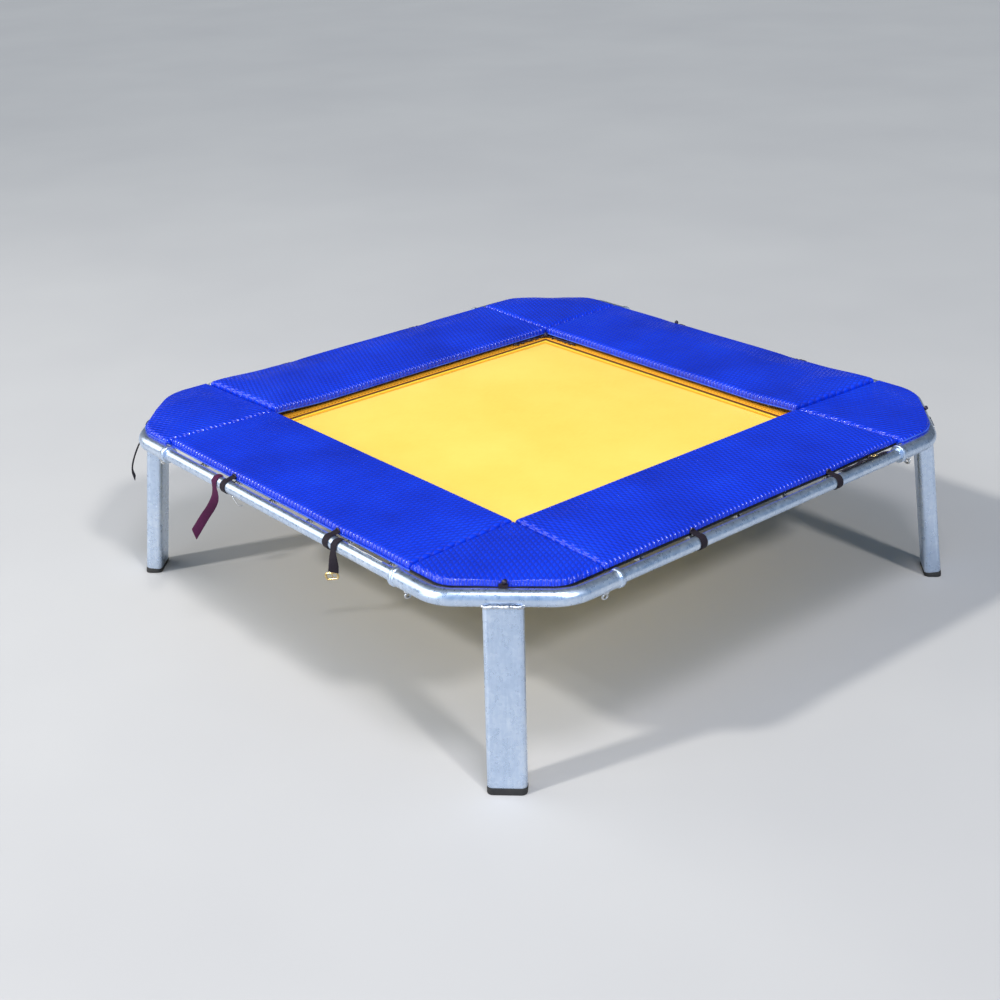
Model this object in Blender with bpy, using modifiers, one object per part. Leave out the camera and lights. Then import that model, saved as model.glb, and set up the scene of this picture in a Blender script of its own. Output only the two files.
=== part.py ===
"""A square gymnastic trampette: a steel tube frame on four splayed legs, a sprung bed and eight pads.

Metres, +Z up. The origin is on the floor under the middle of the bed. The frame has four-fold symmetry,
so each repeated piece is made once for the front side (y = -FRAME_HALF) or the front left corner, and
is turned about Z for the others.
"""

import math

import bmesh
import bpy
from mathutils import Matrix, Vector

GAP = 0.0003  # between neighbouring pieces

# Frame
FRAME_HALF = 0.565  # centre of the bed to the centreline of a side tube
FRAME_Z = 0.303  # height of the tubes' centreline
DIAGONAL = 0.700  # centre of the bed to the centreline of the tube that cuts a corner
BEND_RADIUS = 0.070
BEND_STEPS = 5
SOCKET_RADIUS = 0.01345
SIDE_RADIUS = 0.01065
SIDE_BORE = 0.0083
SOCKET_BORE = SIDE_RADIUS + 0.00045
SOCKET_MOUTH = 0.330  # middle of a side to the mouth of its sockets
INSERTION = 0.055
RIM_RADIUS = 0.0153
RIM_WIDTH = 0.008
OUTER_RESOLUTION, BORE_RESOLUTION = 6, 4

# Legs
FOOT_DIAGONAL = 0.738  # centre of the bed to the middle of a foot on the floor
LEG_WIDTH, LEG_DEPTH, LEG_CORNER, LEG_WALL = 0.060, 0.030, 0.009, 0.0025
LEG_BELOW_TUBE = 0.008  # a leg's top to the tube's centreline, along the leg
WELD_STANDOFF, WELD_HEIGHT = 0.0022, 0.006
FOOT_HEIGHT = 0.009
PLUG_HEIGHT = 0.020

# Clamp screws
SCREW_ALONG = 0.360
SCREW_RADIUS, SCREW_HOLE = 0.0030, 0.0034
BOSS_RADIUS, BOSS_DROP = 0.0065, 0.0155  # the boss's lower face is this far under the tube's centreline
EYE_RADIUS, EYE_WIRE, EYE_DROP = 0.0050, 0.0018, 0.0212
EYE_SQUASH = 0.75

# Bed and springs
BED_HALF, BED_LOW, BED_THICKNESS = 0.361, 0.2991, 0.0016
HEM_INNER, HEM_OUTER, HEM_THICKNESS = 0.331, 0.3665, 0.0020
RING_CENTRE, RING_RADIUS, RING_WIRE, RING_Z = 0.3705, 0.0070, 0.0016, 0.3005
SPRING_Z = 0.2995
SPRING_COUNT, SPRING_PITCH, SPRING_SHIFT = 6, 0.109, 0.0145
SPRING_WIRE, SPRING_COIL = 0.0015, 0.0075
COIL_START, COIL_END = 0.400, 0.540  # distances from the middle of the bed
SPRING_HOLE = 0.0024

# Pads
OPENING = 0.338
PAD_OUTER = 0.550
PAD_DIAGONAL = 0.688
PAD_BOTTOM, PAD_THICKNESS = 0.3095, 0.016
PAD_END_INNER, PAD_END_OUTER = 0.3365, 0.347  # half lengths of a side pad's two long edges
PAD_SEAM = 0.0022
PAD_ROUNDING = 0.045
PAD_BEVEL = 0.005
WIDE_OUTER, WIDE_DIAGONAL, WIDE_ROUNDING = 0.561, 0.702, 0.085  # the two corner pads that lie on their tube
WIDE_GROOVE = 0.0159
WIDE_CORNERS = ("front_right", "back_left")

# Straps
STRAP_PLACES = {"front": (-0.1605, 0.1645), "right": (-0.1605, 0.1645), "back": (-0.1605, 0.1645)}
STRAP_PLACES["left"] = (-0.137, 0.1645)
STRAP_WIDTH, STRAP_THICKNESS = 0.014, 0.0013
LOOP_CLEARANCE = 0.0004
TAIL_ALONG, SHORT_ALONG = -0.163, 0.188
THIN_STRAP_WIDTH, THIN_STRAP_THICKNESS = 0.008, 0.0009
FRONT_STRAP = (0.184, 0.305)
BUCKLE_LENGTH, BUCKLE_WIDTH, BUCKLE_WIRE = 0.013, 0.020, 0.0022

QUARTER = math.pi / 2
SIDES = {"front": 0, "right": 1, "back": 2, "left": 3}
CORNERS = {"front_left": 0, "front_right": 1, "back_right": 2, "back_left": 3}


# Scene and materials

def clear_scene():
    for thing in list(bpy.data.objects):
        bpy.data.objects.remove(thing, do_unlink=True)


def new_collection(name):
    collection = bpy.data.collections.new(name)
    bpy.context.scene.collection.children.link(collection)
    return collection


def material(name, colour, roughness, metallic):
    made = bpy.data.materials.new(name)
    made.use_nodes = True
    shader = made.node_tree.nodes["Principled BSDF"]
    shader.inputs["Base Color"].default_value = (*colour, 1.0)
    shader.inputs["Roughness"].default_value = roughness
    shader.inputs["Metallic"].default_value = metallic
    return made


def make_materials():
    return {
        "steel": material("galvanised_steel", (0.72, 0.74, 0.76), 0.38, 0.9),
        "zinc": material("spring_steel", (0.60, 0.61, 0.62), 0.35, 0.9),
        "rubber": material("foot_rubber", (0.02, 0.02, 0.02), 0.75, 0.0),
        "vinyl": material("pad_vinyl", (0.010, 0.045, 0.62), 0.42, 0.0),
        "bed": material("bed_fabric", (0.95, 0.74, 0.09), 0.60, 0.0),
        "hem": material("hem_webbing", (0.90, 0.36, 0.02), 0.75, 0.0),
        "webbing": material("strap_webbing", (0.020, 0.012, 0.020), 0.80, 0.0),
        "plum": material("strap_plum", (0.075, 0.012, 0.045), 0.75, 0.0),
        "brass": material("buckle_brass", (0.80, 0.58, 0.25), 0.30, 0.9),
    }


# Building blocks

def add_object(name, mesh, parts, finish):
    thing = bpy.data.objects.new(name, mesh)
    parts.objects.link(thing)
    if finish is not None and not mesh.materials:
        mesh.materials.append(finish)
    return thing


def mesh_of(thing):
    """The evaluated mesh of an object in world space, with a curve's caps welded; the object is removed."""
    bpy.context.view_layer.update()
    seen = thing.evaluated_get(bpy.context.evaluated_depsgraph_get())
    mesh = bpy.data.meshes.new_from_object(seen)
    mesh.transform(thing.matrix_world)
    bpy.data.objects.remove(thing, do_unlink=True)
    body = bmesh.new()
    body.from_mesh(mesh)
    bmesh.ops.remove_doubles(body, verts=body.verts, dist=0.00001)
    bmesh.ops.recalc_face_normals(body, faces=body.faces)
    body.to_mesh(mesh)
    body.free()
    mesh.materials.clear()
    return mesh


def swept_mesh(points, radius, resolution, factors=None):
    """A rod along a polyline, with an optional factor on its radius at each point."""
    curve = bpy.data.curves.new("sweep", "CURVE")
    curve.dimensions = "3D"
    curve.bevel_depth = radius
    curve.bevel_resolution = resolution
    curve.use_fill_caps = True
    spline = curve.splines.new("POLY")
    spline.points.add(len(points) - 1)
    for index, point in enumerate(points):
        spline.points[index].co = (*point, 1.0)
        if factors:
            spline.points[index].radius = factors[index]
    thing = bpy.data.objects.new("sweep", curve)
    bpy.context.scene.collection.objects.link(thing)
    return mesh_of(thing)


def outline_mesh(outlines, height):
    """Closed outlines in the XY plane, the later ones holes, raised from z = 0 to the height."""
    curve = bpy.data.curves.new("outline", "CURVE")
    curve.dimensions = "2D"
    curve.fill_mode = "BOTH"
    curve.extrude = height / 2
    for outline in outlines:
        spline = curve.splines.new("POLY")
        spline.points.add(len(outline) - 1)
        for index, point in enumerate(outline):
            spline.points[index].co = (*point, 0.0, 1.0)
        spline.use_cyclic_u = True
    thing = bpy.data.objects.new("outline", curve)
    thing.location.z = height / 2
    bpy.context.scene.collection.objects.link(thing)
    return mesh_of(thing)


def primitive_mesh(add, matrix, **sizes):
    add(**sizes)
    thing = bpy.context.active_object
    thing.matrix_world = matrix @ thing.matrix_world
    return mesh_of(thing)


def cylinder_mesh(radius, start, end, sides=16):
    """A cylinder between two points."""
    start, end = Vector(start), Vector(end)
    turn = (end - start).to_track_quat("Z", "Y").to_matrix().to_4x4()
    place = Matrix.Translation((start + end) / 2) @ turn
    return primitive_mesh(
        bpy.ops.mesh.primitive_cylinder_add, place, vertices=sides, radius=radius, depth=(end - start).length
    )


def box_mesh(low, high):
    low, high = Vector(low), Vector(high)
    place = Matrix.Translation((low + high) / 2) @ Matrix.Diagonal((*(high - low), 1.0))
    return primitive_mesh(bpy.ops.mesh.primitive_cube_add, place, size=1.0)


def torus_mesh(radius, wire, matrix, segments=12, sides=6):
    return primitive_mesh(
        bpy.ops.mesh.primitive_torus_add,
        matrix,
        major_radius=radius,
        minor_radius=wire,
        major_segments=segments,
        minor_segments=sides,
    )


def combine(mesh, operands, operation, cutters):
    """The mesh after one exact Boolean with each operand."""
    base = bpy.data.objects.new("base", mesh)
    bpy.context.scene.collection.objects.link(base)
    tools = []
    for operand in operands:
        tool = bpy.data.objects.new("cutter", operand)
        cutters.objects.link(tool)
        tool.hide_render = True
        tool.display_type = "WIRE"
        modifier = base.modifiers.new("boolean", "BOOLEAN")
        modifier.operation = operation
        modifier.solver = "EXACT"
        modifier.object = tool
        tools.append(tool)
    made = mesh_of(base)
    for tool in tools:
        bpy.data.objects.remove(tool, do_unlink=True)
    return made


def gather(meshes):
    """One mesh that holds several separate solids."""
    body = bmesh.new()
    for mesh in meshes:
        body.from_mesh(mesh)
    made = bpy.data.meshes.new("gathered")
    body.to_mesh(made)
    body.free()
    return made


def set_origin(thing, place):
    """Moves an object's origin without moving its mesh."""
    thing.data.transform(Matrix.Translation(-place))
    thing.location = place


def turned(mesh, quarter_turns):
    made = mesh.copy()
    made.transform(Matrix.Rotation(quarter_turns * QUARTER, 4, "Z"))
    return made


def smooth(mesh, angle_deg=40):
    mesh.shade_smooth()
    mesh.set_sharp_from_angle(angle=math.radians(angle_deg))


def arc(centre, radius, start_deg, end_deg, steps):
    """Points on an arc in a plane, both ends included."""
    points = []
    for step in range(steps + 1):
        angle = math.radians(start_deg + (end_deg - start_deg) * step / steps)
        points.append((centre[0] + radius * math.cos(angle), centre[1] + radius * math.sin(angle)))
    return points


def rounded_rectangle(width, depth, corner, steps=3):
    points = []
    for side_x, side_y, start in ((1, 1, 0), (-1, 1, 90), (-1, -1, 180), (1, -1, 270)):
        centre = (side_x * (width / 2 - corner), side_y * (depth / 2 - corner))
        points += arc(centre, corner, start, start + 90, steps)
    return points


def square(half):
    return [(half, half), (-half, half), (-half, -half), (half, -half)]


def circle(radius, sides):
    return arc((0.0, 0.0), radius, 0, 360, sides)[:-1]


def at_side(along, outward, height):
    """A point on the front side: along X, outward from the tube's centreline and above it."""
    return Vector((along, -FRAME_HALF - outward, FRAME_Z + height))


def at_left_side(along, outward, height):
    """The same on the left side, along Y."""
    return Vector((-FRAME_HALF - outward, along, FRAME_Z + height))


def side_profile(mesh, along, centre_out=0.0, centre_up=0.0):
    """Stands a solid, made in the XY plane as (outward, up), across the front side at one place."""
    turn = Matrix(((0, 0, -1, along), (-1, 0, 0, -FRAME_HALF), (0, 1, 0, FRAME_Z), (0, 0, 0, 1)))
    made = mesh.copy()
    made.transform(turn @ Matrix.Translation((centre_out, centre_up, 0)))
    return made


def ribbon_mesh(points, width, across, thickness):
    """A flat strap along points, with its width in the direction across, thickened evenly."""
    body = bmesh.new()
    rows = []
    half = Vector(across).normalized() * width / 2
    for point in points:
        rows.append((body.verts.new(Vector(point) - half), body.verts.new(Vector(point) + half)))
    for (low, high), (next_low, next_high) in zip(rows, rows[1:]):
        body.faces.new((low, high, next_high, next_low))
    mesh = bpy.data.meshes.new("ribbon")
    body.to_mesh(mesh)
    body.free()
    thing = bpy.data.objects.new("ribbon", mesh)
    bpy.context.scene.collection.objects.link(thing)
    thick = thing.modifiers.new("thickness", "SOLIDIFY")
    thick.thickness = thickness
    thick.offset = 0.0
    thick.use_even_offset = True
    return mesh_of(thing)


# Frame

def bend_start():
    """Where a corner tube begins to bend, measured along a side from its middle."""
    corner = DIAGONAL * math.sqrt(2) - FRAME_HALF
    return corner - BEND_RADIUS * math.tan(math.radians(22.5))


def corner_path(mouth):
    """The centreline of the front left corner tube, from the left side's socket to the front side's."""
    start = bend_start()
    inside = FRAME_HALF - BEND_RADIUS
    first = arc((-inside, -start), BEND_RADIUS, 180, 225, BEND_STEPS)
    second = arc((-start, -inside), BEND_RADIUS, 225, 270, BEND_STEPS)
    flat = [(-FRAME_HALF, -mouth)] + first + second + [(-mouth, -FRAME_HALF)]
    return [(x, y, FRAME_Z) for x, y in flat]


def corner_frame_mesh(cutters):
    """The bent corner tube with its rims, its nut bosses and the leg that is welded under it."""
    outer = swept_mesh(corner_path(SOCKET_MOUTH), SOCKET_RADIUS, OUTER_RESOLUTION)
    bore = swept_mesh(corner_path(SOCKET_MOUTH - 0.02), SOCKET_BORE, BORE_RESOLUTION)
    leg, leg_bore = leg_meshes(cutters)
    added = [leg]
    holes = [bore, leg_bore]
    lip, rim_end = SOCKET_MOUTH - 0.0008, SOCKET_MOUTH + RIM_WIDTH
    for place in (at_side, at_left_side):
        centre = place(-SCREW_ALONG, 0, 0)
        foot = centre - Vector((0, 0, BOSS_DROP))
        added.append(cylinder_mesh(BOSS_RADIUS, centre, foot, 6))
        added.append(cylinder_mesh(RIM_RADIUS, place(-lip, 0, 0), place(-rim_end, 0, 0)))
        holes.append(cylinder_mesh(SCREW_HOLE, centre, foot - Vector((0, 0, 0.01)), 10))
    return combine(combine(outer, added, "UNION", cutters), holes, "DIFFERENCE", cutters)


def side_tube_mesh(cutters):
    """A side tube, with a hole in its inner face for each spring."""
    length = 2 * (SOCKET_MOUTH + INSERTION)
    tube = outline_mesh([circle(SIDE_RADIUS, 20), circle(SIDE_BORE, 12)], length)
    tube.transform(Matrix.Translation((0, 0, -length / 2)))
    drop = SPRING_Z - FRAME_Z
    holes = []
    for along in spring_places():
        holes.append(cylinder_mesh(SPRING_HOLE, at_side(along, -0.016, drop), at_side(along, -0.003, drop), 8))
    return combine(side_profile(tube, 0.0), holes, "DIFFERENCE", cutters)


def screw_mesh(place, cutters):
    """A clamp screw with an eye for a finger or a bar, under a socket of the front left corner."""
    centre = place(-SCREW_ALONG, 0, 0)
    tip = centre - Vector((0, 0, SIDE_RADIUS + GAP))
    eye = centre - Vector((0, 0, EYE_DROP))
    neck = eye + Vector((0, 0, EYE_RADIUS * EYE_SQUASH))
    squash = Matrix.Diagonal((1, 1, EYE_SQUASH, 1))
    ring = torus_mesh(EYE_RADIUS, EYE_WIRE, Matrix.Translation(eye) @ squash @ Matrix.Rotation(QUARTER, 4, "X"))
    return combine(cylinder_mesh(SCREW_RADIUS, tip, neck, 8), [ring], "UNION", cutters)


def make_frame(parts, cutters, finish):
    corner = corner_frame_mesh(cutters)
    side = side_tube_mesh(cutters)
    for name, turn in CORNERS.items():
        mesh = turned(corner, turn)
        smooth(mesh)
        add_object("corner_frame_" + name, mesh, parts, finish["steel"])
    for name, turn in SIDES.items():
        mesh = turned(side, turn)
        smooth(mesh)
        add_object("side_tube_" + name, mesh, parts, finish["steel"])


def make_screws(parts, cutters, finish):
    for name, turn in CORNERS.items():
        for label, place in (("_a", at_side), ("_b", at_left_side)):
            mesh = turned(screw_mesh(place, cutters), turn)
            smooth(mesh)
            screw = add_object("clamp_screw_" + name + label, mesh, parts, finish["zinc"])
            set_origin(screw, Matrix.Rotation(turn * QUARTER, 4, "Z") @ place(-SCREW_ALONG, 0, 0))


# Legs and feet

def leg_place():
    """The front left leg's frame: Z up along the leg, X across its wide face, origin on the floor."""
    inset = FOOT_DIAGONAL - DIAGONAL
    splay = math.atan2(inset, FRAME_Z)
    floor = Vector((-FOOT_DIAGONAL, -FOOT_DIAGONAL, 0)) / math.sqrt(2)
    turn = Matrix.Rotation(math.radians(135), 4, "Z") @ Matrix.Rotation(splay, 4, "X")
    return Matrix.Translation(floor) @ turn, math.hypot(inset, FRAME_Z)


def section_mesh(width, depth, corner, low, high):
    mesh = outline_mesh([rounded_rectangle(width, depth, corner)], high - low)
    mesh.transform(Matrix.Translation((0, 0, low)))
    return mesh


def leg_meshes(cutters):
    """A solid leg with its weld bead, and the bore that hollows it up to the tube's wall."""
    place, to_tube = leg_place()
    top = to_tube - LEG_BELOW_TUBE
    leg = section_mesh(LEG_WIDTH, LEG_DEPTH, LEG_CORNER, FOOT_HEIGHT + GAP, top)
    bead_width, bead_depth = LEG_WIDTH + 2 * WELD_STANDOFF, LEG_DEPTH + 2 * WELD_STANDOFF
    bead_corner = LEG_CORNER + WELD_STANDOFF
    bead = section_mesh(bead_width, bead_depth, bead_corner, top - WELD_HEIGHT, top - 0.0004)
    leg = combine(leg, [bead], "UNION", cutters)
    wall = 2 * LEG_WALL
    bore = section_mesh(LEG_WIDTH - wall, LEG_DEPTH - wall, LEG_CORNER - LEG_WALL, -0.01, to_tube)
    tube = cylinder_mesh(SOCKET_RADIUS + 0.0006, (-LEG_WIDTH, 0, to_tube), (LEG_WIDTH, 0, to_tube), 24)
    bore = combine(bore, [tube], "DIFFERENCE", cutters)
    leg.transform(place)
    bore.transform(place)
    return leg, bore


def foot_mesh(cutters):
    place, _ = leg_place()
    clearance = 2 * (LEG_WALL + GAP)
    plug = section_mesh(
        LEG_WIDTH - clearance, LEG_DEPTH - clearance, LEG_CORNER - LEG_WALL, 0.004, FOOT_HEIGHT + PLUG_HEIGHT
    )
    flange = section_mesh(LEG_WIDTH + 0.001, LEG_DEPTH + 0.001, LEG_CORNER, -0.004, FOOT_HEIGHT)
    foot = combine(flange, [plug], "UNION", cutters)
    foot.transform(place)
    below = box_mesh((-0.8, -0.8, -0.1), (-0.3, -0.3, 0.0))
    return combine(foot, [below], "DIFFERENCE", cutters)


def make_feet(parts, cutters, finish):
    foot = foot_mesh(cutters)
    for name, turn in CORNERS.items():
        mesh = turned(foot, turn)
        smooth(mesh)
        add_object("foot_" + name, mesh, parts, finish["rubber"])


# Bed and springs

def spring_places():
    middle = (SPRING_COUNT - 1) / 2
    return [SPRING_SHIFT + (index - middle) * SPRING_PITCH for index in range(SPRING_COUNT)]


def spring_mesh(along):
    """A spring on the front side: one end hooks through the tube's inner face, the other through a ring."""
    fat = SPRING_COIL / SPRING_WIRE
    ring_out = RING_CENTRE + RING_RADIUS
    over_ring = RING_Z + RING_WIRE + SPRING_WIRE + 2 * GAP
    route = (
        (FRAME_HALF - 0.0040, FRAME_Z + 0.0040, 1.0),
        (FRAME_HALF - 0.0045, SPRING_Z, 1.0),
        (COIL_END + 0.001, SPRING_Z, 1.0),
        (COIL_END, SPRING_Z, fat),
        (COIL_START, SPRING_Z, fat),
        (COIL_START - 0.001, SPRING_Z, 1.0),
        (ring_out + 0.010, over_ring, 1.0),
        (ring_out - 0.0045, over_ring, 1.0),
        (ring_out - 0.0050, RING_Z - 0.0045, 1.0),
    )
    points = [Vector((along, -distance, height)) for distance, height, _ in route]
    return swept_mesh(points, SPRING_WIRE, 1, [factor for _, _, factor in route])


def ring_mesh(along):
    return torus_mesh(RING_RADIUS, RING_WIRE, Matrix.Translation((along, -RING_CENTRE, RING_Z)), 10, 5)


def hem_mesh(cutters):
    """The webbing sewn round the edge of the bed, with the rings that it holds."""
    low = BED_LOW + BED_THICKNESS + GAP
    hem = outline_mesh([square(HEM_OUTER), square(HEM_INNER)], HEM_THICKNESS)
    hem.transform(Matrix.Translation((0, 0, low)))
    rings = gather([ring_mesh(along) for along in spring_places()])
    return combine(hem, [turned(rings, turn) for turn in SIDES.values()], "UNION", cutters)


def make_bed(parts, cutters, finish):
    half = BED_HALF
    sheet = box_mesh((-half, -half, BED_LOW), (half, half, BED_LOW + BED_THICKNESS))
    add_object("jump_bed", sheet, parts, finish["bed"])
    hem = hem_mesh(cutters)
    smooth(hem)
    add_object("bed_hem", hem, parts, finish["hem"])
    for name, turn in SIDES.items():
        for number, along in enumerate(spring_places(), 1):
            mesh = turned(spring_mesh(along), turn)
            smooth(mesh)
            add_object("spring_" + name + "_" + str(number), mesh, parts, finish["zinc"])


# Pads

def bevelled(mesh, width):
    thing = bpy.data.objects.new("pad", mesh)
    bpy.context.scene.collection.objects.link(thing)
    round_edges = thing.modifiers.new("bevel", "BEVEL")
    round_edges.width = width
    round_edges.segments = 2
    round_edges.limit_method = "ANGLE"
    round_edges.angle_limit = math.radians(50)
    return mesh_of(thing)


def pad_mesh(outline):
    mesh = outline_mesh([outline], PAD_THICKNESS)
    mesh.transform(Matrix.Translation((0, 0, PAD_BOTTOM)))
    return bevelled(mesh, PAD_BEVEL)


def side_pad_mesh(strap_places, cutters):
    """The front pad, a trapezium in plan, with its two sewn straps."""
    pad = pad_mesh(
        [
            (-PAD_END_OUTER, -PAD_OUTER),
            (PAD_END_OUTER, -PAD_OUTER),
            (PAD_END_INNER, -OPENING),
            (-PAD_END_INNER, -OPENING),
        ]
    )
    edge = FRAME_HALF - PAD_OUTER
    straps = []
    for along in strap_places:
        straps += [side_profile(mesh, along) for mesh in strap_meshes(SIDE_RADIUS, edge)]
    return combine(pad, straps, "UNION", cutters)


def corner_pad_mesh(outer, diagonal, rounding, cutters):
    """The front left corner pad: square inside, its outer corner cut off and rounded, with its strap."""
    inner = OPENING + PAD_SEAM / 2
    seam = PAD_END_OUTER + PAD_SEAM
    cut = diagonal * math.sqrt(2) - outer
    start = cut - rounding * math.tan(math.radians(22.5))
    inside = outer - rounding
    outline = [(-inner, -inner), (-outer, -seam)]
    outline += arc((-inside, -start), rounding, 180, 225, 3)
    outline += arc((-start, -inside), rounding, 225, 270, 3)
    outline.append((-seam, -outer))
    pad = pad_mesh(outline)
    if outer > PAD_OUTER:
        groove = swept_mesh(corner_path(SOCKET_MOUTH), WIDE_GROOVE, OUTER_RESOLUTION)
        pad = combine(pad, [groove], "DIFFERENCE", cutters)
    straps = strap_meshes(SOCKET_RADIUS, DIAGONAL - PAD_DIAGONAL, False)
    straps = [to_corner(side_profile(mesh, 0.0)) for mesh in straps]
    return combine(pad, straps, "UNION", cutters)


def make_pads(parts, cutters, finish):
    for name, turn in SIDES.items():
        mesh = turned(side_pad_mesh(STRAP_PLACES[name], cutters), turn)
        add_lifting_pad("side_pad_" + name, mesh, turn, (0, -FRAME_HALF), parts, finish)
    narrow = corner_pad_mesh(PAD_OUTER, PAD_DIAGONAL, PAD_ROUNDING, cutters)
    wide = corner_pad_mesh(WIDE_OUTER, WIDE_DIAGONAL, WIDE_ROUNDING, cutters)
    reach = -DIAGONAL / math.sqrt(2)
    for name, turn in CORNERS.items():
        corner = wide if name in WIDE_CORNERS else narrow
        add_lifting_pad("corner_pad_" + name, turned(corner, turn), turn, (reach, reach), parts, finish)


def add_lifting_pad(name, mesh, turn, axis, parts, finish):
    """A pad whose origin lies on the centreline of the tube that it turns about."""
    smooth(mesh)
    pad = add_object(name, mesh, parts, finish["vinyl"])
    set_origin(pad, Matrix.Rotation(turn * QUARTER, 4, "Z") @ Vector((*axis, FRAME_Z)))


# Straps and buckles

def strap_meshes(tube_radius, edge, closed=True):
    """Webbing round a tube, or only over its top, and the tab sewn to a pad, as (outward, up) sections."""
    inner = tube_radius + LOOP_CLEARANCE
    outer = inner + STRAP_THICKNESS
    if closed:
        outlines = [circle(outer, 16), circle(inner, 16)]
    else:
        outlines = [arc((0, 0), outer, 88, 112, 3) + arc((0, 0), inner, 112, 88, 3)]
    loop = outline_mesh(outlines, STRAP_WIDTH)
    loop.transform(Matrix.Translation((0, 0, -STRAP_WIDTH / 2)))
    half = STRAP_WIDTH / 2 - 0.0005
    tab = box_mesh((-edge - 0.002, inner + 0.0002, -half), (-0.002, inner + 0.0014, half))
    return loop, tab


def to_corner(mesh):
    """Moves a solid from the middle of the front side to the middle of the front left corner tube."""
    made = mesh.copy()
    outward = Matrix.Translation((0, FRAME_HALF - DIAGONAL, 0))
    made.transform(Matrix.Rotation(-QUARTER / 2, 4, "Z") @ outward)
    return made


def over_tube(radius, along, start_deg, end_deg, steps=5):
    """Points on an arc round the front tube, from its inner side over the top and down its outer side."""
    return [at_side(along, out, up) for out, up in arc((0.0, 0.0), radius, start_deg, end_deg, steps)]


def hanging_strap(tube_radius, route, width, thickness=STRAP_THICKNESS):
    """A strap that lies over the front tube and hangs outside it, through (along, outward, up) points."""
    along = route[0][0]
    path = over_tube(tube_radius + LOOP_CLEARANCE + thickness / 2, along, 118, 20, 6)
    path += [at_side(*point) for point in route[1:]]
    return ribbon_mesh(path, width, (1, 0, 0), thickness)


def buckle_mesh():
    """A rectangular buckle in the XY plane, centred on the origin."""
    outer = rounded_rectangle(BUCKLE_WIDTH, BUCKLE_LENGTH, 0.003, 2)
    inner = rounded_rectangle(BUCKLE_WIDTH - 2 * BUCKLE_WIRE, BUCKLE_LENGTH - 2 * BUCKLE_WIRE, 0.001, 1)
    buckle = outline_mesh([outer, inner], BUCKLE_WIRE)
    buckle.transform(Matrix.Translation((0, 0, -BUCKLE_WIRE / 2)))
    return buckle


def make_left_straps(parts, finish):
    """The two strap ends that hang from the left tube, one of them with a buckle."""
    first, second = TAIL_ALONG, SHORT_ALONG
    tail = hanging_strap(
        SIDE_RADIUS,
        ((first, 0, 0), (first + 0.004, 0.014, -0.022), (first - 0.021, 0.024, -0.064), (first - 0.037, 0.040, -0.098)),
        STRAP_WIDTH,
    )
    short = hanging_strap(SIDE_RADIUS, ((second, 0, 0), (second, 0.013, -0.022), (second, 0.013, -0.043)), STRAP_WIDTH)
    below = -0.043 - GAP - BUCKLE_LENGTH / 2
    buckle = side_profile(turn_upright(buckle_mesh()), second - 0.007, 0.013, below)
    left = SIDES["left"]
    add_object("tail_strap_left", turned(tail, left), parts, finish["plum"])
    add_object("buckle_strap_left", turned(short, left), parts, finish["webbing"])
    add_object("buckle_left", turned(buckle, left), parts, finish["brass"])


def turn_upright(mesh):
    """Stands a buckle made in the XY plane on edge, its width along the tube."""
    mesh.transform(Matrix.Rotation(QUARTER, 4, "Y"))
    return mesh


def make_corner_strap(parts, finish):
    """A thin strap end that hangs over the back left corner tube."""
    route = (
        (0.030, 0, 0),
        (0.026, 0.024, -0.010),
        (0.040, 0.033, -0.028),
        (0.062, 0.035, -0.048),
        (0.075, 0.036, -0.066),
        (0.060, 0.038, -0.090),
    )
    strap = to_corner(hanging_strap(SOCKET_RADIUS, route, THIN_STRAP_WIDTH, THIN_STRAP_THICKNESS))
    add_object("corner_strap_back_left", turned(strap, CORNERS["back_left"]), parts, finish["webbing"])


def make_front_strap(parts, finish):
    """A strap that lies along the top of the front tube beside the pad, and its buckle."""
    angle = math.radians(112)
    start, end = FRONT_STRAP
    radial = Vector((math.cos(angle), math.sin(angle)))
    sideways = Vector((0, math.sin(angle), math.cos(angle)))
    reach = SIDE_RADIUS + LOOP_CLEARANCE + STRAP_THICKNESS
    path = [at_side(start + (end - start) * step / 3, *(radial * reach)) for step in range(4)]
    strap = ribbon_mesh(path, STRAP_WIDTH - 0.001, sideways, STRAP_THICKNESS)
    add_object("front_strap", strap, parts, finish["webbing"])
    buckle = buckle_mesh()
    buckle.transform(Matrix.Rotation(QUARTER, 4, "Z") @ Matrix.Diagonal((0.9, 1, 1, 1)))
    lift = reach + STRAP_THICKNESS / 2 + GAP + BUCKLE_WIRE / 2
    buckle.transform(Matrix.Translation(at_side(0.270, *(radial * lift))) @ Matrix.Rotation(QUARTER - angle, 4, "X"))
    add_object("front_buckle", buckle, parts, finish["brass"])


def main():
    clear_scene()
    parts = new_collection("trampette")
    cutters = new_collection("cutters")
    finish = make_materials()
    make_frame(parts, cutters, finish)
    make_screws(parts, cutters, finish)
    make_feet(parts, cutters, finish)
    make_bed(parts, cutters, finish)
    make_pads(parts, cutters, finish)
    make_left_straps(parts, finish)
    make_corner_strap(parts, finish)
    make_front_strap(parts, finish)


main()
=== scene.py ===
"""Looks of the trampette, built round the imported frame. Metres, +Z up, in the CAD's own frame."""

import math
import random

import bmesh
import bpy
from mathutils import Matrix, Vector, noise


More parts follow.
